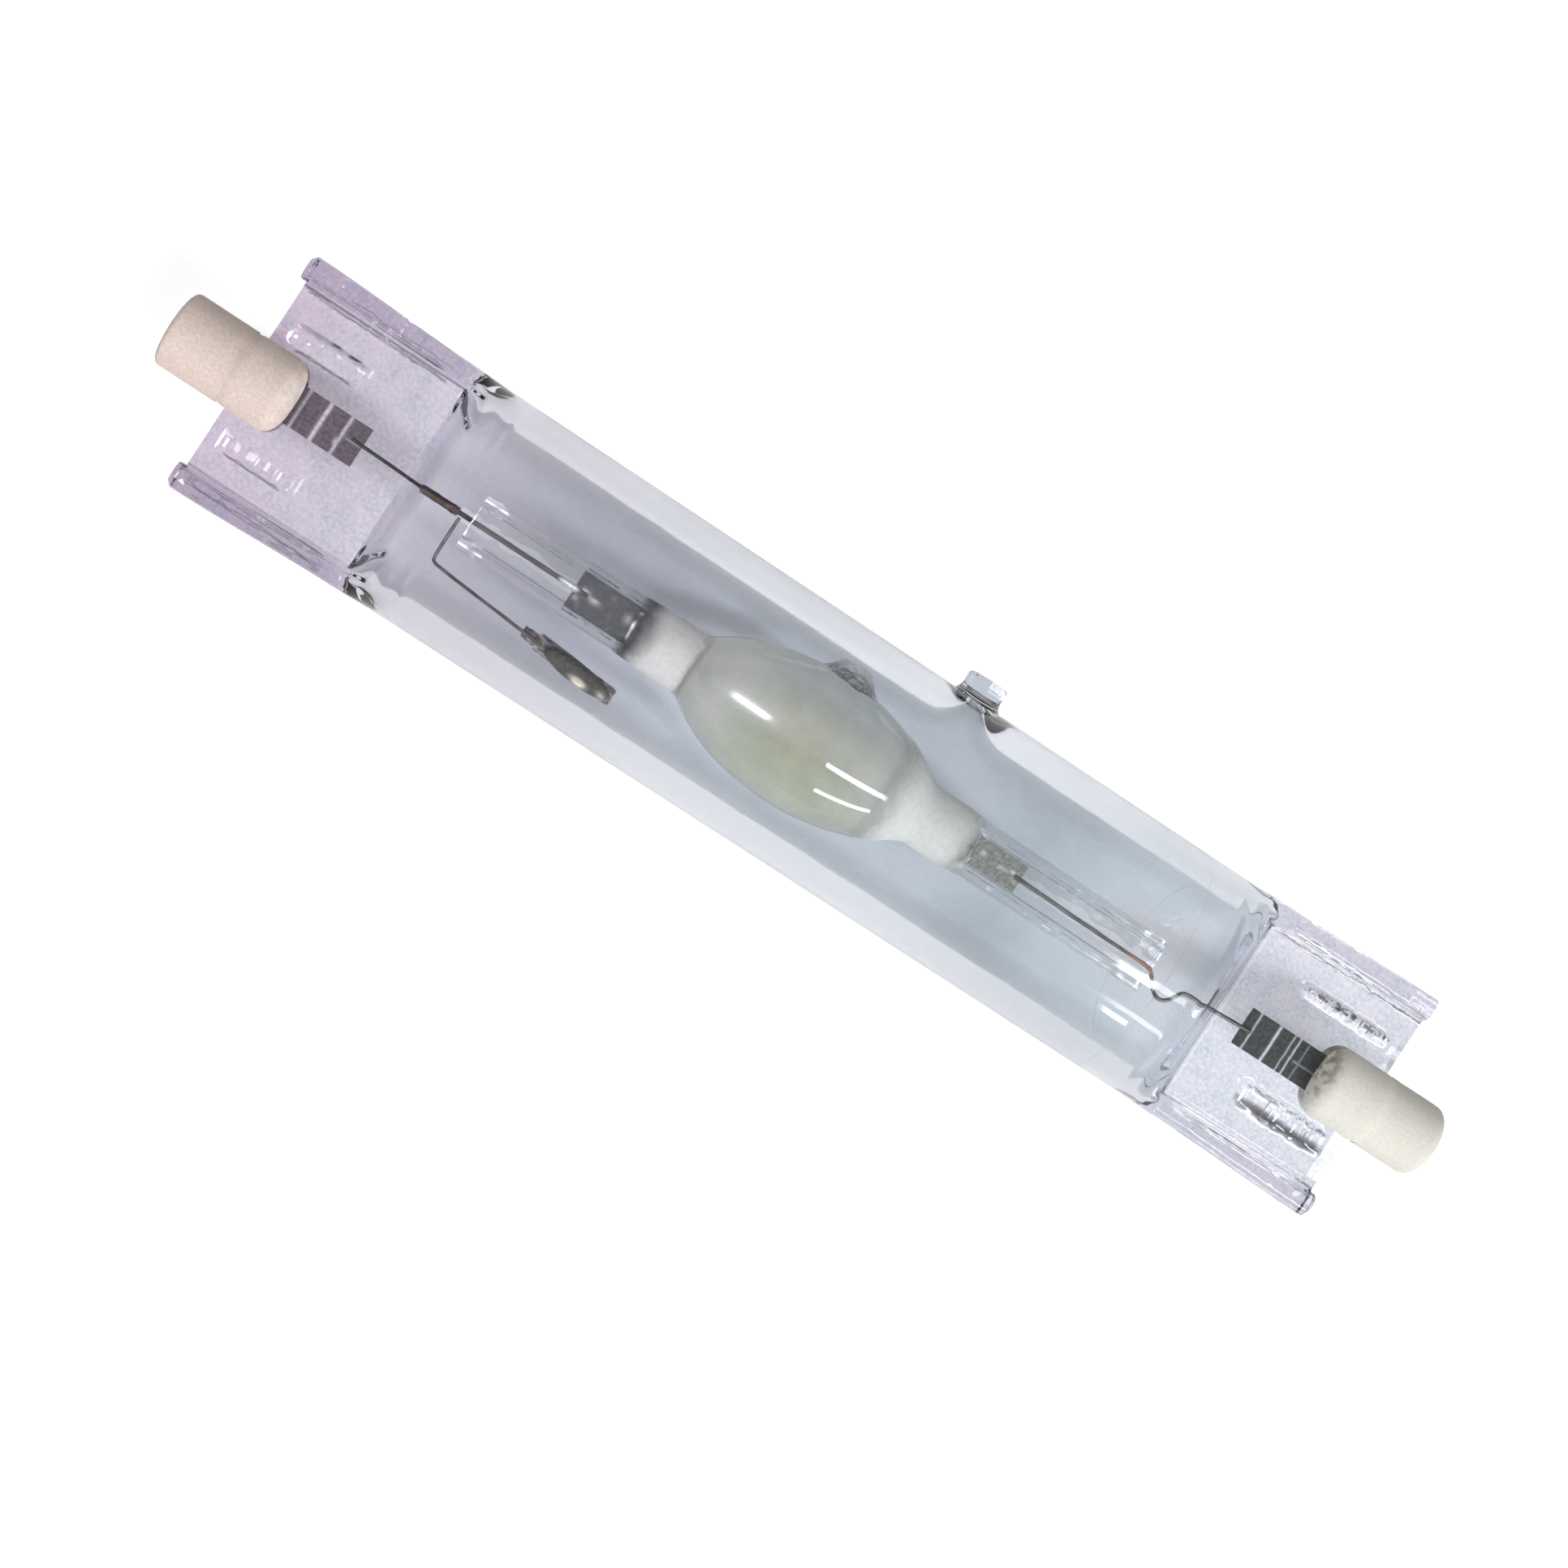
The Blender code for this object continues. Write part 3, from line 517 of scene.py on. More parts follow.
def pinch_tint(tint):
    """The tint in the pinches: patchy where the jaws pressed it, darker along the rails."""
    patches = mapped(grain(1.7, 4.0), 0.32, 0.68)
    motes = mapped(grain(0.4, 4.0), 0.38, 0.62)
    cast = mixed(patches, (0.80, 0.87, 0.94), (1.08, 1.0, 1.04))
    cast = mixed(times(motes, 0.7), cast, (1.22, 1.22, 1.20))
    rail = mapped(away("Y"), 0.0095, 0.0101)
    rail = times(rail, mapped(axis("X"), -0.046, -0.044, 1.0, 0.65))
    return tinted(rail, mixed(1.0, tint, cast, "MULTIPLY"), (0.74, 0.70, 0.76))


def bore_tint_and_shade():
    """Clear above, greyer below, where the far wall is seen through the near one. The lower tint also carries
    painted light and shade: above 1 toward the ends, darkest along the middle, lighter at the bottom than at
    the sides, and two painted shadows of the arc tube.
    """
    height = mapped(axis("Z"), 0.0022, 0.006)
    low = ramp(mapped(axis("X"), -0.0445, 0.0445, smooth=False), BORE_TINT_LIGHT_AND_SHADE)
    lift = mapped(axis("Z"), -0.0086, -0.0022, 1.75, 0.80)
    low_side = mapped(away("X"), 0.012, 0.024, 1.18, 0.86)
    lean = mapped(axis("Y"), -0.009, 0.009, low_side, 0.95, smooth=False)
    cloud = mapped(grain(6.0, 3.0), 0.3, 0.7, 0.93, 1.07)
    # Painted shadows of the arc tube on the far wall, above and below its left neck
    upper = times(drawn_line(-25.0, -7.0, 2.4, 2.1, rise=0.31, fade=6.0), 0.42)
    lower = times(drawn_line(-21.0, -6.0, -3.2, 1.3, rise=-0.36, fade=5.5), 0.14)
    unshaded = minus(1.0, larger(upper, lower))
    return mixed(height, brightened(low, times(lift, lean, cloud, unshaded)), (0.93, 0.935, 0.95))


def burner_tint():
    """Nearly clear, with painted glints and darker flecks on the melted tip-off."""
    plain = mixed(grain(5.0, 2.0), (0.93, 0.93, 0.93), (0.97, 0.97, 0.98))
    # Painted glints: pale flecks above 1 brighten the tip-off's glass, with darker flecks between
    tip_off_glints = mixed(mapped(grain(0.7, 3.0), 0.44, 0.56), (0.80, 0.84, 0.84), (1.30, 1.38, 1.34))
    return mixed(mapped(axis("Y"), 0.0060, 0.0065), plain, tip_off_glints)


def painted_dark_rim(start, full, above):
    """Painted shade: where the glass is seen edge on, from start to full, for its dark outlines. Above is the
    share left on the stub's side.
    """
    facing = put("ShaderNodeLayerWeight", {"Blend": 0.5}).outputs["Facing"]
    return times(mapped(facing, start, full), mapped(axis("Y"), 0.0050, 0.0057, 1.0, above))


def shoulder_index():
    """A refractive index that is lower in the middle of the shoulders, which so distort little."""
    along = away("X")
    shoulder = times(mapped(along, 0.0391, 0.0399), mapped(along, 0.0462, 0.0485, 1.0, 0.0))
    middle = mapped(away("Y"), 0.0068, 0.0084, 1.0, 0.45)
    return mapped(times(shoulder, middle), 0.0, 1.0, QUARTZ_IOR, SHOULDER_IOR, smooth=False)


def glass(name, colour_of, rough, wave, wave_size=3.0, shadow=0.98, rim=None, gloss=0.0, melted=None):
    """Quartz. Gloss is its coat, and melted the roughness of a tip-off. Without a coat it has shoulders."""
    begin(bpy.data.materials.new(name))
    colour = colour_of()
    # Painted shade: the colour darkens to dark outlines where the glass is seen edge on
    if rim is not None:
        colour = mixed(painted_dark_rim(*rim), colour, (0.10, 0.10, 0.12))
    normal = bumped(grain(wave_size, 2.0, (0.35, 1.0, 1.0)), wave)
    if melted is not None:
        knob = mapped(axis("Y"), 0.0057, 0.0066)
        rough = mapped(knob, 0.0, 1.0, rough, melted)
        normal = bumped(times(grain(0.75, 2.5), knob), 0.55, 1.0, normal)
    inputs = {
        "Base Color": colour,
        "Roughness": rough,
        "IOR": QUARTZ_IOR if gloss else shoulder_index(),
        "Transmission Weight": 1.0,
        "Coat Weight": gloss,
        "Coat Roughness": mapped(axis("X"), -0.0045, -0.0015, 0.17, 0.03),
        "Coat IOR": 1.9,
        "Normal": normal,
    }
    surface = principled(inputs)
    surface.node.inputs["IOR"].default_value = QUARTZ_IOR
    return show(lets_light_by(surface, (shadow, shadow, 0.98)))


# Other materials


def haze_material():
    """The fogged wall of the arc tube's chamber."""
    begin(bpy.data.materials.new("burner_haze"))
    drift = wander(4.0, 3.0, 0.0028, (0.4, 1.0, 1.0))
    up = mapped(plus(axis("Y"), drift), -0.0054, 0.0054, smooth=False)
    ends = mapped(away("X", -2.0 * MM), 0.0035, 0.0105)
    colour = mixed(ends, ramp(up, FOG_TINTS), (0.95, 0.95, 0.915))
    # Two pale lines drawn on the fog are painted highlights: glints along the bulb's upper wall
    for low, high, height, rise in ((-9.8, -3.6, 3.9, 0.26), (1.2, 5.2, 4.9, -0.28)):
        colour = mixed(drawn_line(low, high, height, 0.22, rise=rise), colour, (1.0, 1.0, 1.0))
    dusty = mapped(grain(1.6, 4.0), 0.40, 0.70)
    colour = mixed(times(dusty, 0.25), colour, (0.82, 0.82, 0.74))
    relief = bumped(grain(0.8, 3.0), 0.02)
    matt_side = principled({"Base Color": colour, "Roughness": 0.45, "Normal": relief})
    through = put("ShaderNodeBsdfTranslucent", {"Color": colour}).outputs[0]
    clear = put("ShaderNodeBsdfTransparent", {"Color": (0.90, 0.90, 0.88)}).outputs[0]
    share = mapped(grain(2.5, 3.0), 0.3, 0.7, 0.10, 0.24)
    return show(blended(share, blended(0.45, matt_side, through), clear))


def ceramic(name, tip_low, tip_high, pale, dark, spot, tip_tone_and_shade):
    """Pressed ceramic: grainy and mottled. Toward the inner end, where tip_low and tip_high bracket the
    lamp's X and stronger on the +Y side, it takes a paler tone on the left cap and a painted shadow on the
    right one; a painted shade runs along its +Y edge.
    """
    begin(bpy.data.materials.new(name))
    fine = mapped(grain(0.28, 5.0), 0.3, 0.7)
    broad = mapped(grain(3.0, 2.0), 0.3, 0.7)
    colour = mixed(plus(times(fine, 0.9), times(broad, 0.2)), pale, dark)
    specks = mapped(grain(0.3, 2.0), 0.68, 0.76)
    colour = mixed(times(specks, 0.4), colour, spot)
    # The inner end's tone: paler on the left cap, a painted shadow on the right one
    edge = mapped(away("X"), tip_low * MM, tip_high * MM)
    edge = times(edge, mapped(axis("Y"), -0.0034, 0.0015, 0.35, 1.0))
    # A painted shade along the cap's +Y edge
    rim = mapped(away("Y", 0.0031), 0.0002, 0.0012, 0.35, 0.0)
    colour = mixed(rim, colour, tuple(0.72 * part for part in dark))
    patches = mapped(grain(0.9, 4.0), 0.42, 0.62)
    return show(principled({
        "Base Color": mixed(times(edge, patches), colour, tip_tone_and_shade),
        "Roughness": mapped(grain(0.8, 3.0), 0.2, 0.8, 0.72, 0.92),
        "Specular IOR Level": 0.3,
        "Normal": bumped(grain(0.22, 4.0), 0.08, 0.9),
    }))


def metal(name, bright, dull, rough, size, stretch=(1.0, 1.0, 1.0), metallic=1.0, tarnish_and_glint=None):
    """Worn metal. tarnish_and_glint is a coloured stretch of it: its middle on X, its reach and its colour.
    It is reddish tarnish on the kinked lead, and on the left lead a pale stretch at the weld beads, partly
    bright weld metal and partly a painted glint.
    """
    begin(bpy.data.materials.new(name))
    wear = mapped(grain(size, 4.0, stretch), 0.32, 0.68)
    colour = mixed(wear, bright, dull)
    if tarnish_and_glint is not None:
        middle, reach, tone = tarnish_and_glint
        share = mapped(away("X", middle * MM), 0.4 * reach * MM, reach * MM, 1.0, 0.0)
        colour = mixed(share, colour, tone)
    return show(principled({
        "Base Color": colour,
        "Metallic": metallic,
        "Roughness": mapped(wear, 0.0, 1.0, rough[0], rough[1]),
        "Normal": bumped(grain(size * 0.4, 3.0, stretch), 0.01),
    }))


def pressed_foil(name, dark_low, dark_high, bare_low, bare_high, bare_metal=0.1):
    """Oxidised metal, with the bare metal of its creases and welds read from the mesh. On the stems' foils
    and the getter's cup the bright bare patches also stand for painted glints.
    """
    begin(bpy.data.materials.new(name))
    bare = put("ShaderNodeAttribute", attribute_name="bare", attribute_type="GEOMETRY").outputs["Fac"]
    dark = mixed(mapped(grain(0.35, 4.0), 0.3, 0.7), dark_low, dark_high)
    streak = mapped(grain(0.25, 3.0, (0.25, 1.0, 1.0)), 0.35, 0.75)
    return show(principled({
        "Base Color": mixed(bare, dark, mixed(streak, bare_low, bare_high)),
        "Metallic": mapped(bare, 0.2, 1.0, 0.1, bare_metal),
        "Roughness": mapped(bare, 0.0, 1.0, 0.7, 0.4),
        "Normal": bumped(grain(0.3, 3.0), 0.015),
    }))


def coat_material(name, side, start, full, fade, end, colours, smoke=None):
    """White heat-reflecting coat on a neck, brushed on: its far edge thins out in streaks."""
    begin(bpy.data.materials.new(name))
    at = plus(times(axis("X"), float(side)), wander(1.6, 3.0, 0.0011))
    inner = mapped(at, start * MM, full * MM)
    outer = mapped(at, fade * MM, end * MM, 1.0, 0.0)
    thin = mapped(grain(0.5, 3.0), 0.25, 0.6, 0.90, 1.0)
    colour = mixed(grain(0.7, 4.0), colours[0], colours[1])
    if smoke is not None:
        colour = mixed(mapped(at, smoke[0] * MM, smoke[1] * MM), colour, (0.11, 0.11, 0.13))
    return show(principled({
        "Base Color": colour,
        "Roughness": 0.85,
        "Alpha": times(inner, outer, thin),
        "Normal": bumped(grain(0.4, 4.0), 0.012),
    }))


def matt(name, first, second, size, rough):
    begin(bpy.data.materials.new(name))
    return show(principled({
        "Base Color": mixed(mapped(grain(size, 4.0), 0.3, 0.7), first, second),
        "Roughness": mapped(grain(size, 2.0), 0.2, 0.8, rough - 0.1, rough + 0.05),
        "Normal": bumped(grain(size * 0.4, 3.0), 0.02),
    }))


OUTER_GLASS = glass("envelope_quartz", envelope_tint, 0.03, 0.02, 5.0, 0.97, (0.80, 0.93, 1.0))
BORE_GLASS = glass("envelope_bore_quartz", bore_tint_and_shade, 0.05, 0.02)
BURNER_GLASS = glass("burner_quartz_clear", burner_tint, 0.05, 0.015, 2.0, 0.98, (0.72, 0.92, 0.15), 1.0, 0.2)
HAZE = haze_material()
CERAMIC = {
    "left": ceramic(
        "ceramic_left", 58.4, 57.2, (0.82, 0.695, 0.64), (0.70, 0.57, 0.515),
        (0.42, 0.30, 0.22), (0.84, 0.76, 0.70),
    ),
    "right": ceramic(
        "ceramic_right", 57.3, 55.8, (0.80, 0.78, 0.715), (0.72, 0.70, 0.63),
        (0.48, 0.43, 0.33), (0.30, 0.30, 0.23),
    ),
}
CEMENT = matt("cap_cement_paste", (0.72, 0.68, 0.60), (0.60, 0.55, 0.47), 0.6, 0.9)
CONTACT = metal("contact_nickel", (0.66, 0.64, 0.60), (0.44, 0.41, 0.37), (0.25, 0.5), 0.5)
FOIL = {
    "left": pressed_foil(
        "sealing_foil_left", (0.105, 0.08, 0.098), (0.185, 0.155, 0.18),
        (0.62, 0.59, 0.66), (0.85, 0.83, 0.88),
    ),
    "right": pressed_foil(
        "sealing_foil_right", (0.02, 0.025, 0.022), (0.058, 0.064, 0.058),
        (0.66, 0.67, 0.7), (0.88, 0.88, 0.9),
    ),
}
STEM_FOIL = {
    "left": pressed_foil(
        "stem_foil_left", (0.02, 0.021, 0.026), (0.062, 0.064, 0.076),
        (0.8, 0.8, 0.83), (0.95, 0.95, 0.97), 0.6,
    ),
    "right": pressed_foil(
        "stem_foil_right", (0.15, 0.16, 0.135), (0.36, 0.37, 0.32), (0.6, 0.62, 0.55), (0.9, 0.92, 0.85), 0.6
    ),
}
DRAWN = (0.3, 1.0, 1.0)
WIRE = metal("lead_wire", (0.09, 0.08, 0.08), (0.17, 0.15, 0.145), (0.35, 0.5), 0.5, DRAWN, 0.7)
# At the weld beads, the pale stretch is partly bright weld metal and partly a painted glint
LEFT_WIRE = metal(
    "left_lead_wire_oxide", (0.035, 0.03, 0.032), (0.09, 0.08, 0.08), (0.35, 0.5), 0.4, DRAWN, 0.6,
    (-27.9, 1.3, (0.85, 0.86, 0.90)),
)
KINK_WIRE = metal(
    "kinked_lead_wire", (0.06, 0.055, 0.055), (0.20, 0.19, 0.18), (0.3, 0.45), 0.6, DRAWN, 0.8,
    (35.4, 2.4, (0.40, 0.19, 0.12)),
)
SLEEVE = metal(
    "lead_sleeve_oxide", (0.03, 0.022, 0.02), (0.12, 0.085, 0.07), (0.45, 0.65), 0.4, (0.4, 1.0, 1.0), 0.4
)
TUNGSTEN = metal("electrode_tungsten", (0.32, 0.32, 0.33), (0.20, 0.20, 0.21), (0.35, 0.5), 0.3)
GETTER = metal(
    "getter_strip_metal", (0.38, 0.345, 0.355), (0.04, 0.034, 0.036), (0.4, 0.6), 0.55, (0.6, 1.0, 1.0), 0.5
)
PELLET = pressed_foil(
    "getter_pellet_alloy", (0.022, 0.02, 0.018), (0.085, 0.078, 0.065),
    (0.95, 0.86, 0.68), (0.95, 0.9, 0.78), 0.9,
)
SALT = matt("halide_salt_crust", (0.78, 0.74, 0.36), (0.62, 0.56, 0.24), 0.4, 0.6)
MERCURY = metal("mercury_drop", (0.78, 0.78, 0.80), (0.66, 0.67, 0.70), (0.05, 0.12), 0.4)
COAT = {
    "left": coat_material(
        "end_coat_left", -1, 14.6, 15.1, 20.0, 21.6, ((0.90, 0.88, 0.86), (0.84, 0.82, 0.80)), (18.6, 20.6)
    ),
    "right": coat_material(
        "end_coat_right", 1, 5.6, 8.6, 13.4, 16.3, ((0.85, 0.87, 0.82), (0.78, 0.80, 0.755))
    ),
}


# Envelope

OUTLINE_SPANS = 12
OUTLINE_ROUNDING = np.array([-0.16, -0.08, 0.0, 0.08, 0.16])
OUTLINE_PLACES = np.concatenate(
    [np.linspace(-0.49, 6.0, 33)[:-1], np.linspace(6.0, 9.0, 19)[:-1], np.linspace(9.0, 11.49, 9)]
)
WEB_PLACES = OUTLINE_PLACES > 4.6
RAIL_FOOT_PLACE = 3.45
BORE_PLACES = np.linspace(-0.47, 11.47, 40)
CREASE_SHIFTS = np.linspace(-1.0, 1.0, 15)
FOOT_SHIFTS = np.linspace(-0.3, 0.3, 5)


def pinch_outline(rib, rib_height, inset, narrowing):
    """The pinch's quarter outline at the outline's places, from the side to the middle."""
    side, top = RAIL_OUTER_EDGE - inset - narrowing, RAIL_TOP - inset
    rib_inner, rib_outer = rib
    corners = np.array(
        [
            (side, 0.0),
            (side, top - RAIL_ROUND),
            (side - 0.3 * RAIL_ROUND, top - 0.3 * RAIL_ROUND),
            (side - RAIL_ROUND, top),
            (RAIL_INNER_EDGE + 0.8 * RAIL_ROUND, top),
            (RAIL_INNER_EDGE + 0.3 * RAIL_ROUND, top - 0.4 * RAIL_ROUND),
            (RAIL_INNER_EDGE - 0.2 * RAIL_ROUND, WEB_HALF),
            (rib_outer, WEB_HALF),
            (rib_outer - 0.55, WEB_HALF + rib_height),
            (rib_inner + 0.65, WEB_HALF + rib_height),
            (rib_inner, WEB_HALF),
            (0.5 * rib_inner, WEB_HALF),
            (0.2 * rib_inner, WEB_HALF),
            (0.0, WEB_HALF),
        ]
    )
    outline = rounded(corners, OUTLINE_SPANS, OUTLINE_PLACES, OUTLINE_ROUNDING)
    outline[:, 1] *= np.clip((OUTLINE_PLACES + 0.5) / 0.16, 0.05, 1.0) ** 0.3
    return outline


def round_outline(radius, places, spans=OUTLINE_SPANS):
    angles = (places + 0.5) / spans * pi / 2
    return np.stack([radius * np.cos(angles), radius * np.sin(angles)], axis=1)


def fall(distance, foot, lengths):
    """How far each point has come down the shoulder: a long soft crease above, a tighter foot below."""

    def come_down(shifts):
        shares = [np.clip((distance + shift - foot) / lengths + 1, 0.0, 1.0) for shift in shifts]
        return sum(shares) / len(shifts)

    low = eased((distance - foot) / lengths + 1)
    return come_down(CREASE_SHIFTS) * (1 - low) + come_down(FOOT_SHIFTS) * low


def rib_noise(side, distance, y_sign, z_sign):
    lump = ripple(distance * side, 7.0 * y_sign, 3.0 * z_sign, 0.42, 4.0)
    step = ripple(distance * side, 2.0 * y_sign, 9.0 * z_sign, 1.3, 9.0)
    level = {-1: 0.80, 1: 0.66}[side] + {-1: 0.20, 1: 0.75}[side] * lump + {-1: 0.25, 1: 0.5}[side] * step
    return min(max(level, 0.10), 1.5)


def press_marks(points, side, distance, y_sign, z_sign):
    """Adds the groove along the rail's foot, the jaws' fine ridges across the web, and an uneven skin."""
    pressed = np.clip((distance - 44.0) / 1.5, 0.0, 1.0)
    if pressed == 0:
        return
    points[:, 1] -= 0.11 * pressed * bump(OUTLINE_PLACES, RAIL_FOOT_PLACE, 0.22)
    fade = np.clip((RAIL_INNER_EDGE - 0.8 - points[:, 0]) / 0.8, 0.0, 1.0)
    ridges = {-1: 0.005, 1: 0.009}[side] * sum(bump(distance, ridge, 0.16) for ridge in RIDGES[side])
    points[:, 1] += ridges * pressed * fade
    web_skin, rail_skin = ({-1: 0.006, 1: 0.011}[side], 1.1), (0.03, 0.9)
    for point, in_web in zip(points, WEB_PLACES):
        uneven, size = web_skin if in_web else rail_skin
        point[1] += uneven * pressed * ripple(distance * side, point[0] * y_sign, 5.0 * z_sign, size, 1.0)


def envelope_ring(x):
    side, distance = (1, x) if x > 0 else (-1, -x)
    around = round_outline(TUBE_RADIUS, OUTLINE_PLACES)
    inset = 0.35 * float(eased((distance - 61.75) / 0.45))
    narrowing = RAIL_FLARE * float(eased((61.0 - distance) / 16.0))
    rising, falling = eased((distance - RIB_START[side]) / 0.6), eased((RIB_END - distance) / 0.6)
    rib = RIB_HEIGHT[side] * float(rising * falling)
    ring = []
    for y_sign, z_sign in ((1, 1), (-1, 1), (-1, -1), (1, -1)):
        lumps = rib_noise(side, distance, y_sign, z_sign) if rib else 1.0
        flat = pinch_outline(RIBS[side, y_sign], rib * lumps, inset, narrowing)
        lengths = np.maximum(np.abs(around[:, 1] - flat[:, 1]) / SHOULDER_SLOPE, RAIL_BLEND)
        share = fall(distance, PINCH_START + FOOT_SHIFT[side], lengths)[:, None]
        points = around + (flat - around) * share
        if side > 0 and z_sign > 0:
            onset = float(eased((distance - SWELLING_START + 0.3) / 0.6))
            swelling = SWELLING_RATE * max(distance - SWELLING_START, 0.0) * onset
            points[:, 1] += swelling * around[:, 1] / TUBE_RADIUS * (1 - share[:, 0])
        press_marks(points, side, distance, y_sign, z_sign)
        # The web ends before the rails, and so does the right pinch's rail on the stub's side
        stops = WEB_PLACES | (side > 0 and y_sign > 0)
        px = np.where(stops, np.minimum(distance, WEB_END), distance) * side
        if distance > WEB_END:
            closing = (distance - WEB_END) / (PINCH_END - WEB_END)
            points[:, 1] = np.where(WEB_PLACES, points[:, 1] * (1 - closing) + 0.02 * closing, points[:, 1])
        block = np.stack([px, points[:, 0] * y_sign, points[:, 1] * z_sign], axis=1)
        ring.append(block if y_sign * z_sign > 0 else block[::-1])
    return np.concatenate(ring)


def bore_ring(x):
    side, distance = (1, x) if x > 0 else (-1, -x)
    around = round_outline(BORE_RADIUS, BORE_PLACES)
    flat = around[:, 1] * BORE_END_HALF / BORE_RADIUS
    lengths = np.maximum(np.abs(around[:, 1] - flat) / SHOULDER_SLOPE, RAIL_BLEND)
    height = around[:, 1] + (flat - around[:, 1]) * fall(distance, BORE_FOOT + FOOT_SHIFT[side], lengths)
    widening = 1 + (BORE_END_SIDE / BORE_RADIUS - 1) * float(eased((distance - 40.2) / 4.2))
    ring = mirrored_ring(x, around[:, 0] * widening, height)
    for point in ring:
        if point[1] > 0:
            point[1] += BULGE * bump(x, STUB_X, BULGE_HALF) * (point[1] / BORE_RADIUS) ** 5
    return ring


def stub_skin():
    """The cut-off exhaust tube: a flared foot, a wavy cut rim and a slightly dished end."""
    profile = [(9.9, 2.7), (11.2, 2.75), (11.45, 2.7), (11.75, 2.35), (12.1, 2.12), (12.5, 2.02), (13.1, 2.0)]
    profile += [(13.6, 2.03), (13.78, 1.93), (13.83, 1.7), (13.80, 1.3), (13.76, 0.8), (13.74, 0.3)]
    rings = []
    for y, radius in profile:
        ring = []
        for angle in circle(40):
            rim = 0.10 * ripple(3 * cos(angle), 3 * sin(angle), y, 2.0, 6.0) if y > 13.0 else 0.0
            r = radius * (1 + 0.03 * ripple(2 * cos(angle), 2 * sin(angle), y, 1.5, 2.0))
            ring.append((STUB_X + r * cos(angle), min(y + rim, STUB_TOP), r * sin(angle)))
        rings.append(ring)
    return tube_skin(rings, strip_ends=False)


def build_envelope():
    tube = [*np.arange(0.9, 34.0, 0.9), *np.arange(34.0, 35.45, 0.15)]
    shoulder = [*np.arange(35.5, 43.4, 0.25), *np.arange(43.4, 46.0, 0.1)]
    pinch = [*np.arange(46.0, 61.4, 0.26), 61.45, 61.6, 61.72, 61.85, 62.0, 62.12, PINCH_END]
    distances = tube + shoulder + pinch
    places = [-d for d in reversed(distances)] + [0.0] + distances
    skin = tube_skin([envelope_ring(x) for x in places])
    body = finish_mesh("glass_envelope", *skin, OUTER_GLASS)
    combine(body, finish_mesh("stub_cutter", *stub_skin(), OUTER_GLASS), "UNION")

    shoulder_start = 36.0
    distances = [*np.arange(0.0, 18.0, 0.4), *np.arange(18.0, shoulder_start, 1.0)]
    distances += [*np.linspace(shoulder_start, BORE_END, 56)]
    places = [-d - FOOT_SHIFT[-1] * (d > shoulder_start) for d in distances[:0:-1]]
    places += [d + FOOT_SHIFT[1] * (d > shoulder_start) for d in distances]
    add_hollow(body, tube_skin([bore_ring(x) for x in places], outward=False), BORE_GLASS, 0.6)
    ride(body, "outer_envelope")


# Arc tube

STEM_SPANS = 8
STEM_PLACES = np.linspace(-0.47, 7.47, 26)


def stem_outline():
    """The pressed stem's quarter outline at the stem's places, from the side to the middle."""
    side, top, web, rail, soft = 2.8, 1.4, 0.9, 1.9, 0.3
    corners = [(side, 0.0), (side, top - soft), (side - soft, top), (rail + soft / 2, top)]
    corners += [(rail, top - soft / 2), (rail - soft, web)]
    corners += [(share * rail, web) for share in (0.6, 0.35, 0.12, 0.0)]
    return rounded(np.array(corners), STEM_SPANS, STEM_PLACES, (-0.12, 0.0, 0.12))


def burner_radius(x):
    across = max(1 - ((x - BULB_X) / BULB_HALF) ** 2, 0.0)
    return ((BULB_RADIUS * sqrt(across)) ** 6 + NECK_RADIUS**6) ** (1 / 6)


def burner_ring(x, growth=0.0):
    """The arc tube's outline at x, from bulb to neck to pressed stem, with the tip-off's lumpy mound."""
    side_name = "left" if x < 0 else "right"
    share = float(eased((abs(x) - NECK_END[side_name]) / 3.0))
    unit = round_outline(1.0, STEM_PLACES, STEM_SPANS)
    radius = burner_radius(x) + growth
    points = unit * radius * (1 - share) + (stem_outline() + unit * growth) * share
    ring = mirrored_ring(x, points[:, 0], points[:, 1])
    for point in ring:
        if share > 0.4:
            point[2] += 0.05 * share * ripple(point[0], point[1], 2.0 * np.sign(point[2]), 0.9, 3.0)
            if growth == 0 and abs(point[1]) > 1.5:
                point[2] *= 1 - 0.45 * float(eased((abs(x) - STEM_END[side_name] + 2.6) / 2.6))
        if point[1] > 0:
            reach = sqrt((point[0] - TIP_OFF_X) ** 2 + point[2] ** 2) / TIP_OFF_REACH
            if reach < 1.0:
                lump = TIP_OFF_HEIGHT + 0.8 * ripple(point[0], point[1], point[2], 0.6, 8.0)
                point[1] = min(point[1] + lump * (1 - reach**2.4) ** 1.9, TIP_OFF_TOP)
    return ring


def chamber_skin():
    stations, count = 64, 88
    around = np.linspace(0.5 / count, 1 - 0.5 / count, count) * 2 * pi
    rings = []
    for k in range(1, stations):
        angle = pi * k / stations
        x, radius = CHAMBER_X - CHAMBER_HALF * cos(angle), CHAMBER_RADIUS * sin(angle)
        rings.append(np.stack([np.full(count, x), radius * np.cos(around), radius * np.sin(around)], axis=1))
    return tube_skin(rings, outward=False, strip_ends=False)


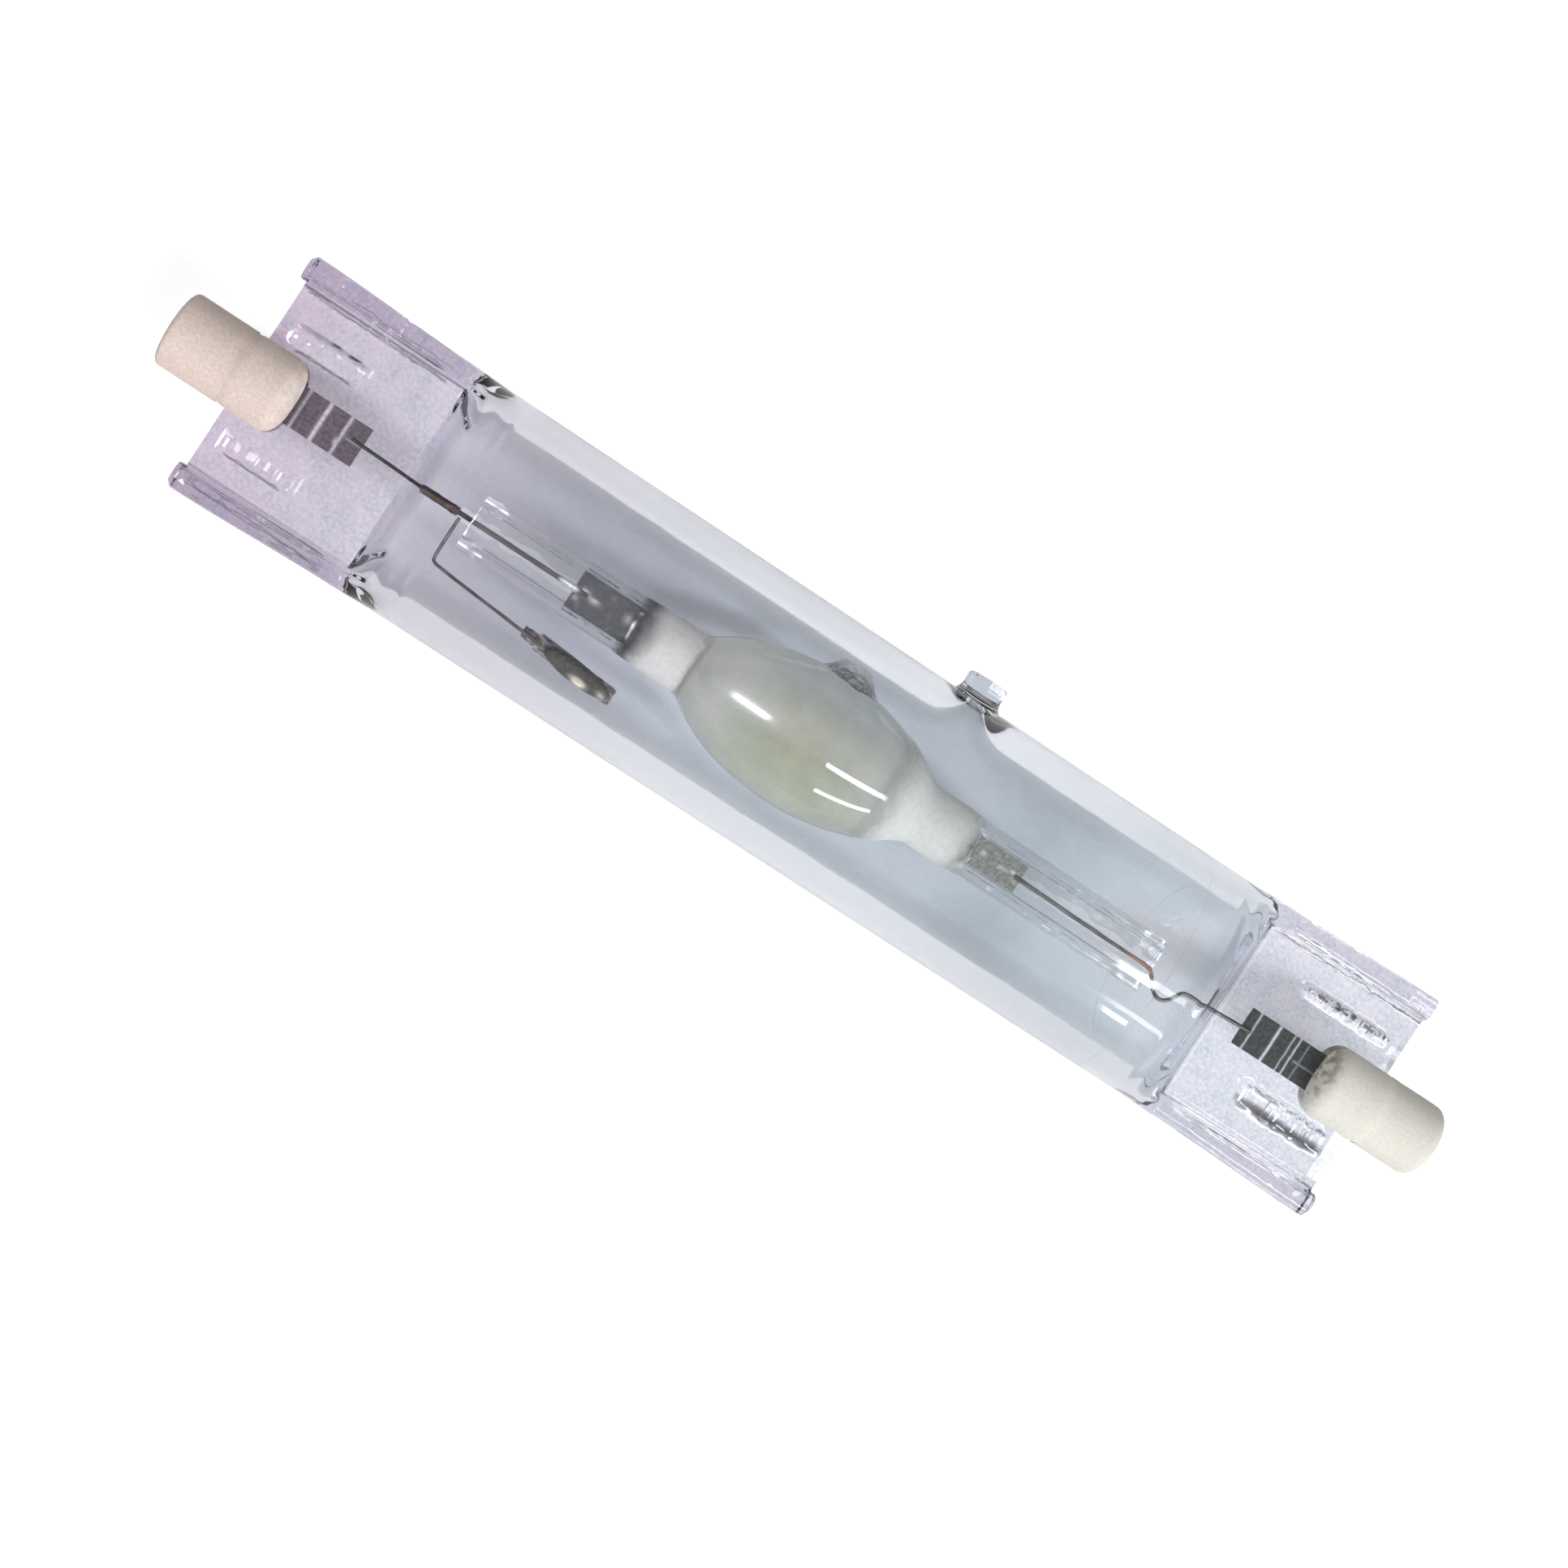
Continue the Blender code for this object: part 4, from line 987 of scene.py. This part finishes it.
def build_burner():
    places = [-STEM_END["left"], -STEM_END["left"] + 0.06, -STEM_END["left"] + 0.2]
    places += [*np.arange(-37.8, -21.5, 0.5), *np.arange(-21.5, 17.1, 0.3), *np.arange(17.1, 36.3, 0.5)]
    places += [STEM_END["right"] - 0.2, STEM_END["right"] - 0.06, STEM_END["right"]]
    rings = []
    for x in places:
        ring = burner_ring(x)
        edge = min(abs(x + STEM_END["left"]), abs(x - STEM_END["right"]))
        if edge < 0.1:
            ring[:, 1:] *= 0.97 if edge < 0.01 else 0.99
        rings.append(ring)
    body = finish_mesh("glass_burner", *tube_skin(rings), BURNER_GLASS)
    add_hollow(body, chamber_skin(), HAZE, 0.7)
    ride(body, "arc_tube")


def build_coat(side_name):
    start, end = {"left": (14.3, 21.7), "right": (5.4, 16.4)}[side_name]
    places = SIDES[side_name] * np.linspace(start, end, 30)
    rings = [burner_ring(x, 0.14) for x in places] + [burner_ring(x, 0.06) for x in places[::-1]]
    count = len(rings[0])
    verts = np.concatenate(rings)
    faces = ring_faces(len(rings), count)
    last = (len(rings) - 1) * count
    faces += [(last + k, last + (k + 1) % count, (k + 1) % count, k) for k in range(count)]
    obj = finish_mesh(f"{side_name}_neck_coat", verts, oriented(verts, faces), COAT[side_name])
    ride(obj, f"{side_name}_end_coating")


# Caps


def cap_profile(side_name):
    """The turned cap's radius and place, from its recess over the outer end to the dome's tip."""
    soft = {"left": 0.5, "right": 1.1}[side_name]
    dome = {"left": 1.9, "right": 2.3}[side_name]
    tip = CAP_TIP[side_name]
    profile = [(0.0, HOLE_FLOOR), (HOLE_RADIUS, HOLE_FLOOR), (HOLE_RADIUS, RECESS_FLOOR)]
    profile += [(RECESS_RADIUS, RECESS_FLOOR), (RECESS_RADIUS, CAP_END - 0.15)]
    profile.append((RECESS_RADIUS + 0.12, CAP_END - 0.02))
    for k in range(9):
        angle = pi / 2 * (1 - k / 8)
        profile.append((CAP_RADIUS - soft + soft * cos(angle), CAP_END - soft + soft * sin(angle)))
    over_web = np.linspace(CAP_END - soft - 0.3, tip + dome + 0.2, 34)
    profile += [(CAP_RADIUS + CAP_SWELL * float(eased((62.9 - x) / 1.2)), x) for x in over_web]
    for k in range(18):
        angle = pi / 2 * k / 18
        profile.append(((CAP_RADIUS + CAP_SWELL) * cos(angle) ** 0.6, tip + dome * (1 - sin(angle) ** 0.9)))
    return profile + [(0.0, tip)]


def box(low, high):
    xs, ys, zs = zip(high, low)
    corners = np.array([(x, y, z) for z in zs for y in ys for x in xs])
    quads = [(0, 1, 3, 2), (4, 6, 7, 5), (0, 4, 5, 1), (2, 3, 7, 6), (0, 2, 6, 4), (1, 5, 7, 3)]
    return corners, oriented(corners, quads)


def build_cap(side_name):
    """A cap of pressed ceramic, with a slot for the web cut into its domed end."""
    side = SIDES[side_name]
    rings = []
    for radius, x in cap_profile(side_name):
        ring = []
        for angle in circle(96):
            y, z = max(radius, 0.002) * cos(angle), max(radius, 0.002) * sin(angle)
            rough = 0.012 * ripple(x * side, y, z, 0.5, 3.0) + 0.02 * ripple(x * side, y, z, 2.5, 7.0)
            if radius > 2.5:
                y, z = y * (1 + (rough - 0.03) / radius), z * (1 + (rough - 0.03) / radius)
            ring.append((side * x, y, z))
        rings.append(ring)
    skin = tube_skin(rings, strip_ends=False)
    cap = finish_mesh(f"{side_name}_ceramic_cap", *skin, CERAMIC[side_name])
    slot_low, slot_high = sorted((side * (CAP_TIP[side_name] - 4.0), side * SLOT_END))
    slot = box((slot_low, -6.0, -SLOT_HALF), (slot_high, 6.0, SLOT_HALF))
    combine(cap, finish_mesh("slot_cutter", *slot, CERAMIC[side_name]), "DIFFERENCE")
    soften(cap.data, 0.7)
    ride(cap, f"{side_name}_cap")


# Foils

# The creases across the sealing foils: place, half width, height
FOIL_CREASES = {
    "left": ((51.9, 0.16, 0.85), (54.05, 0.2, 1.0), (56.2, 0.16, 0.85)),
    "right": (
        (48.45, 0.1, 0.7), (50.67, 0.13, 1.0), (52.35, 0.09, 0.6), (53.0, 0.09, 0.9), (54.0, 0.09, 0.35)
    ),
}


def outer_crease(side_name, d, s):
    """How high and bare a sealing foil is creased, at a distance d and a share s of its half width."""
    crease = 0
    for at, width, height in FOIL_CREASES[side_name]:
        crease += height * bump(d, at + 0.04 * ripple(s * 2, d, 1.0, 1.0, at), width)
    if side_name == "left":
        blob = bump(d, 52.05, 0.22) * bump(s, -0.38, 0.2)
        return max(crease, 0.9 * blob, 0.55 * bump(d, 50.8, 0.9) * bump(s, 0.0, 0.04))
    return max(crease, 0.5 * bump(s, -0.12, 0.045) * float(eased((d - 53.2) / 0.4)))


def stem_welds_and_glints(end, start, d, s):
    """How high and bare the weld spots of a stem's foil are, at a distance d and a share s. The bright bare
    patches are partly welds and partly painted glints.
    """
    spot = 0.9 * bump(d, end - 1.0, 0.35) * bump(s, 0.1, 0.12)
    spot += 0.6 * bump(d, start + 1.2, 0.35) * bump(s, 0.1, 0.2)
    near = 0.9 * bump(d, end - 2.1, 0.55) * bump(s, -0.03, 0.09)
    near += 0.5 * bump(d, end - 0.5, 0.3) * bump(s, -0.3, 0.1)
    return spot + near + 0.25 * max(ripple(d, s * 1.5, 0.0, 0.5, 3.0), 0.0) ** 2


def build_foil(name, replaced, side_name, distances, shares, relief_at, point_at, material):
    """A thin foil with a knife edge. The relief's height is also how bare the metal is."""
    side = SIDES[side_name]

    def sided(layer, d, s):
        x, y, z = point_at(layer, d, s)
        return side * x, y, z

    obj = thin_sheet(f"{side_name}_{name}", distances, shares, sided, material)
    mark_bare(obj, [min(relief_at(d, s), 1.0) for d in distances for s in shares] * 2)
    ride(obj, f"{side_name}_{replaced}")


def build_outer_foil(side_name):
    """The sealing foil of a pinch, creased across where the jaws' ridges pressed the glass."""

    def relief_at(d, s):
        return outer_crease(side_name, d, s)

    def point_at(layer, d, s):
        thick = 0.012 + 0.04 * (1 - abs(s) ** 3)
        z = layer * thick + 0.03 * relief_at(d, s) + 0.012 * ripple(d, s * 2, 0.0, 1.2, 2.0)
        return d, s * (1.95 * (1 + 0.012 * ripple(d, s, 0.0, 0.8, 5.0))), z

    start = {"left": 49.8, "right": 47.4}[side_name]
    distances, shares = np.linspace(start, 59.0, 150), np.linspace(-1, 1, 31)
    made = (distances, shares, relief_at, point_at, FOIL[side_name])
    build_foil("pinch_foil", "outer_foil", side_name, *made)


def build_arc_foil(side_name):
    """The sealing foil of an arc tube's stem, with its weld spots, whose bright bare patches are partly
    painted glints.
    """
    start, end, half = {"left": (20.5, 27.3, 2.25), "right": (16.2, 21.7, 1.5)}[side_name]

    def relief_at(d, s):
        return stem_welds_and_glints(end, start, d, s)

    def point_at(layer, d, s):
        thick = 0.01 + 0.04 * (1 - abs(s) ** 3)
        z = layer * thick + 0.05 * relief_at(d, s) + 0.04 * ripple(d, s * 1.5, 0.0, 1.0, 12.0)
        return d, s * half * (1 - 0.04 * abs(ripple(d, s, 1.0, 0.7, 4.0))), z

    distances, shares = np.linspace(start, end, 70), np.linspace(-1, 1, 19)
    made = (distances, shares, relief_at, point_at, STEM_FOIL[side_name])
    build_foil("stem_foil", "arc_foil", side_name, *made)


# Leads and sleeve


def tube_along(name, points, radii, material, steps=16):
    """A round wire along a path, with a radius at each point, slightly uneven as drawn wire is."""
    points = [Vector(p) for p in points]
    rings = []
    for i, point in enumerate(points):
        before, after = points[max(i - 1, 0)], points[min(i + 1, len(points) - 1)]
        ahead = (after - before).normalized()
        up = (Vector((0, 0, 1)) - ahead * ahead.z).normalized()
        across = ahead.cross(up)
        ring = []
        for k, angle in enumerate(circle(steps)):
            r = radii[i] * (1 + 0.03 * ripple(point.x, point.y, k, 0.8, 2.0))
            ring.append(tuple(point + across * (r * cos(angle)) + up * (r * sin(angle))))
        rings.append(ring)
    return finish_mesh(name, *tube_skin(rings, strip_ends=False), material, angle=1.0)


def smooth_path(points):
    """A path through the points, resampled along a smooth curve."""
    spacing = 0.25
    points = np.array(points, float)
    padded = np.concatenate([[2 * points[0] - points[1]], points, [2 * points[-1] - points[-2]]])
    made = []
    for i in range(1, len(padded) - 2):
        a, b, c, d = padded[i - 1 : i + 3]
        count = max(int(np.linalg.norm(c - b) / spacing), 1)
        for t in (k / count for k in range(count)):
            cubic = (2 * a - 5 * b + 4 * c - d) * t**2 + (3 * b - a - 3 * c + d) * t**3
            made.append(0.5 * (2 * b + (c - a) * t + cubic))
    return made + [points[-1]]


def build_left_lead():
    """Thin in the pinch, then through its sleeve, then in the arc tube's stem, with three weld beads."""
    points = [(-50.9, 0.25, 0.07), (-49.9, 0.22, 0.06), (-47.0, 0.16, 0.0), (-43.5, 0.05, 0.0)]
    points += [(-39.0, 0.0, 0.0), (-30.0, 0.0, 0.0), (-27.1, 0.0, 0.02), (-25.9, 0.0, 0.06)]
    path = smooth_path(points)
    radii = [0.17 if p[0] < -43.4 else 0.225 for p in path]
    beads = [sum(bump(p[0], at, 0.25) for at in (-28.6, -27.9, -27.2)) for p in path]
    radii = [r + 0.16 * bead for r, bead in zip(radii, beads)]
    ride(tube_along("left_lead_wire", path, radii, LEFT_WIRE), "left_inner_lead")


def build_right_lead():
    """From the arc tube's foil through a kink in the open to the pinch's foil."""
    points = [(21.0, 0.0, 0.06), (21.9, -0.05, 0.02), (27.0, -0.15, 0.0), (33.0, -0.25, 0.0)]
    points += [(36.2, -0.3, 0.0), (37.2, -0.8, 0.0), (37.8, -1.6, 0.0), (39.0, -2.25, 0.1)]
    points += [(39.9, -1.9, 0.1), (40.7, -0.75, 0.0), (41.2, -0.5, 0.0), (42.2, -0.42, 0.0)]
    points += [(44.5, -0.35, 0.0), (47.3, -0.2, 0.05), (48.4, -0.15, 0.08)]
    path = smooth_path(points)
    ride(tube_along("right_lead_wire", path, [0.2] * len(path), KINK_WIRE), "right_inner_lead")


def build_sleeve():
    distances = np.arange(39.6, 43.3, 0.12)
    path = [(-d, 0.0, 0.0) for d in distances]
    radii = [0.41 + 0.07 * ripple(d, 0.0, 0.0, 0.5, 3.0) - 0.06 * bump(d, 43.3, 0.2) for d in distances]
    sleeve = tube_along("left_lead_sleeve_oxidised", path, radii, SLEEVE, steps=20)
    ride(sleeve, "left_lead_sleeve")


# Getter


def getter_point(along, width, height):
    """A point by its place along the getter's strip, across it and above it."""
    across = Vector((0.0, cos(GETTER_TILT), sin(GETTER_TILT)))
    out = Vector((0.0, -sin(GETTER_TILT), cos(GETTER_TILT)))
    below = GETTER_BEND + GETTER_RUN * STRIP_PLACE - out * 0.42
    return tuple(below + GETTER_RUN * along + across * width + out * height)


def build_getter_wire():
    points = [(-39.25, -0.35, 0.0), (-39.25, -2.5, 0.0), (-39.2, -4.5, 0.0), (-38.9, -4.98, 0.0)]
    points += [tuple(GETTER_BEND + GETTER_RUN * d) for d in (1.5, 5.0, 9.0, 12.3)]
    path = smooth_path(points)
    wire = tube_along("getter_support_wire", path, [0.165] * len(path), WIRE, steps=14)
    ride(wire, "getter_wire")


def build_getter_strip():
    """A thin strip with turned-up edges, pinched narrow where it is welded to the wire."""

    def point_at(layer, along, s):
        end_room = max(STRIP_HALF_LENGTH - along, 0.0)
        width = STRIP_HALF_WIDTH * (1.0 if end_room > 0.35 else 0.86 + 0.14 * end_room / 0.35)
        if along < -3.4:
            width *= 0.62 + 0.16 * ripple(along, 0.0, 0.0, 0.5, 4.0)
        lip = 0.22 * abs(s) ** 4
        bent = 0.06 * ripple(along, s, 0.0, 1.6, 7.0)
        return getter_point(along, width * s, layer * 0.07 + lip + bent)

    lengthwise = np.linspace(-STRIP_HALF_LENGTH, STRIP_HALF_LENGTH, 60)
    crosswise = np.linspace(-1, 1, 15)
    strip = thin_sheet("getter_carrier_strip", lengthwise, crosswise, point_at, GETTER, angle=1.0)
    ride(strip, "getter_strip")


def build_getter_pellet():
    """A shallow oval cup of pressed powder on the strip, with two bright bare metal patches on its rim that
    stand for its glints: painted highlights.
    """
    profile = ((0.0, 0.96), (0.25, 1.0), (0.55, 0.99), (0.72, 0.94), (0.80, 0.86), (0.78, 0.80), (0.66, 0.72))
    profile += ((0.61, 0.62), (0.60, 0.5), (0.60, 0.38), (0.60, 0.25), (0.60, 0.13), (0.61, 0.04))
    rings, bare = [], []
    for height, shrink in profile:
        ring = []
        for angle in circle(72):
            uneven = 0.02 * ripple(4 * cos(angle), 4 * sin(angle), height, 1.0, 5.0)
            far, wide = (shrink + uneven) * cos(angle), (shrink + uneven) * sin(angle)
            lump = 0.05 * ripple(far * 3.6, wide, 0.0, 0.6, 2.0)
            ring.append(getter_point(1.1 + 3.6 * far, 1.05 * wide, 0.16 + height + lump))
            # Painted glints: bright bare metal in two places on the rim
            shine = 2.2 * bump(far, 0.14, 0.17) * bump(wide, -0.50, 0.26)
            shine += 0.7 * bump(far, 0.80, 0.10) * bump(wide, -0.15, 0.3)
            bare.append(min(shine, 1.0) if height > 0.5 else 0.0)
        rings.append(ring)
    pellet = finish_mesh("getter_powder_cup", *tube_skin(rings, strip_ends=False), PELLET, angle=0.9)
    mark_bare(pellet, bare)
    ride(pellet, "getter_pellet")


# Kept solids with better finishes


def set_material(node, material):
    mesh = NODES[node].data
    for index in range(len(mesh.materials)):
        mesh.materials[index] = material


def finish_kept():
    kept = {"contact": CONTACT, "cap_cement": CEMENT, "outer_lead": WIRE}
    kept |= {"electrode_rod": TUNGSTEN, "electrode_coil": TUNGSTEN}
    for side_name in SIDES:
        for name, material in kept.items():
            set_material(f"{side_name}_{name}", material)
    set_material("halide_deposit", SALT)
    set_material("mercury_bead", MERCURY)
    smooth = NODES["mercury_bead"].modifiers.new("round", "SUBSURF")
    smooth.levels = smooth.render_levels = 2


# Stage, lights and camera


def backdrop_rays():
    path = put("ShaderNodeLightPath")
    seen = larger(path.outputs["Is Camera Ray"], path.outputs["Is Glossy Ray"])
    return larger(seen, path.outputs["Is Transmission Ray"])


def build_floor():
    """A pale floor, a little brighter to the camera, so that it meets the white backdrop unseen."""
    size = 3000.0
    verts = [(x * size, y * size, TUBE_BOTTOM) for x, y in ((-1, -1), (1, -1), (1, 1), (-1, 1))]
    begin(bpy.data.materials.new("studio_floor"))
    base = put("ShaderNodeBsdfDiffuse", {"Color": (0.86, 0.86, 0.87)})
    seen = put("ShaderNodeLightPath").outputs["Is Camera Ray"]
    strength = plus(times(backdrop_rays(), 0.22), times(seen, 0.24))
    glow = put("ShaderNodeEmission", {"Color": (1.0, 1.0, 1.0), "Strength": strength})
    material = show(put("ShaderNodeAddShader", {0: base.outputs[0], 1: glow.outputs[0]}).outputs[0])
    finish_mesh("studio_floor", verts, [(0, 1, 2, 3)], material)


def build_world():
    """A white backdrop that darkens upward in reflections, and a soft light from the camera's side."""
    world = bpy.data.worlds.new("studio_world")
    bpy.context.scene.world = world
    begin(world)
    seen = backdrop_rays()
    camera_ray = put("ShaderNodeLightPath").outputs["Is Camera Ray"]
    direction = put("ShaderNodeTexCoord").outputs["Generated"]
    upward = put("ShaderNodeSeparateXYZ", {"Vector": direction}).outputs["Z"]
    backdrop = larger(camera_ray, mapped(upward, 0.0, 0.6, 0.95, 0.50))
    soft_side = (0.451, -0.551, 0.702)
    toward = put("ShaderNodeVectorMath", {0: direction, 1: soft_side}, operation="DOT_PRODUCT")
    lean = mapped(toward.outputs["Value"], -0.1, 1.0, 0.08, 0.22)
    strength = plus(times(seen, backdrop), times(minus(1.0, seen), lean))
    back = put("ShaderNodeBackground", {"Color": (1.0, 1.0, 1.0), "Strength": strength})
    put("ShaderNodeOutputWorld", {"Surface": back.outputs[0]})


def turned(right, up, back, place_mm):
    """The matrix of an object by its axes and its place."""
    return Matrix([[right[i], up[i], back[i], place_mm[i] * MM] for i in range(3)] + [[0.0, 0.0, 0.0, 1.0]])


def area_light(name, place_mm, target_mm, size_mm, watts):
    """A soft light whose long side lies as near to the lamp's length as its direction lets it."""
    light = bpy.data.lights.new(name, "AREA")
    light.shape = "RECTANGLE"
    light.size, light.size_y = size_mm[0] * MM, size_mm[1] * MM
    light.energy = watts
    obj = bpy.data.objects.new(name, light)
    back = (Vector(place_mm) - Vector(target_mm)).normalized()
    side = (Vector((1.0, 0.0, 0.0)) - back * back.x).normalized()
    obj.matrix_world = turned(side, back.cross(side), back, place_mm)
    bpy.context.scene.collection.objects.link(obj)


def build_lights():
    area_light("key_softbox", (-528, -60, 1078), (0, 0, 0), (480, 190), 4.7)
    area_light("window_strip", (704, -245, 930), (3, 0, 0), (830, 150), 7.6)
    area_light("window_strip_low", (628, -880, 540), (3, 0, 0), (600, 120), 4.9)


def build_camera():
    """The photograph's view: from above and a little left, with the lamp lying across the frame."""
    distance, lean, roll = 222.6, radians(7.3), radians(33.2)
    back = Vector((-sin(lean), 0.0, cos(lean)))
    along = Vector((cos(lean), 0.0, sin(lean)))
    across = Vector((0.0, 1.0, 0.0))
    right = along * cos(roll) + across * sin(roll)
    up = across * cos(roll) - along * sin(roll)
    data = bpy.data.cameras.new("photo_camera")
    data.lens, data.sensor_width = 55.6, 36.0
    data.shift_x, data.shift_y = -0.0260, -0.0206
    data.clip_start, data.clip_end = 0.01, 20.0
    camera = bpy.data.objects.new("photo_camera", data)
    camera.matrix_world = turned(right, up, back, back * distance)
    bpy.context.scene.collection.objects.link(camera)
    bpy.context.scene.camera = camera


build_camera()
build_world()
build_lights()
build_floor()
build_envelope()
build_burner()
for name in SIDES:
    build_coat(name)
    build_cap(name)
    build_outer_foil(name)
    build_arc_foil(name)
build_left_lead()
build_right_lead()
build_sleeve()
build_getter_wire()
build_getter_strip()
build_getter_pellet()
finish_kept()

bpy.context.scene.view_settings.view_transform = "Standard"
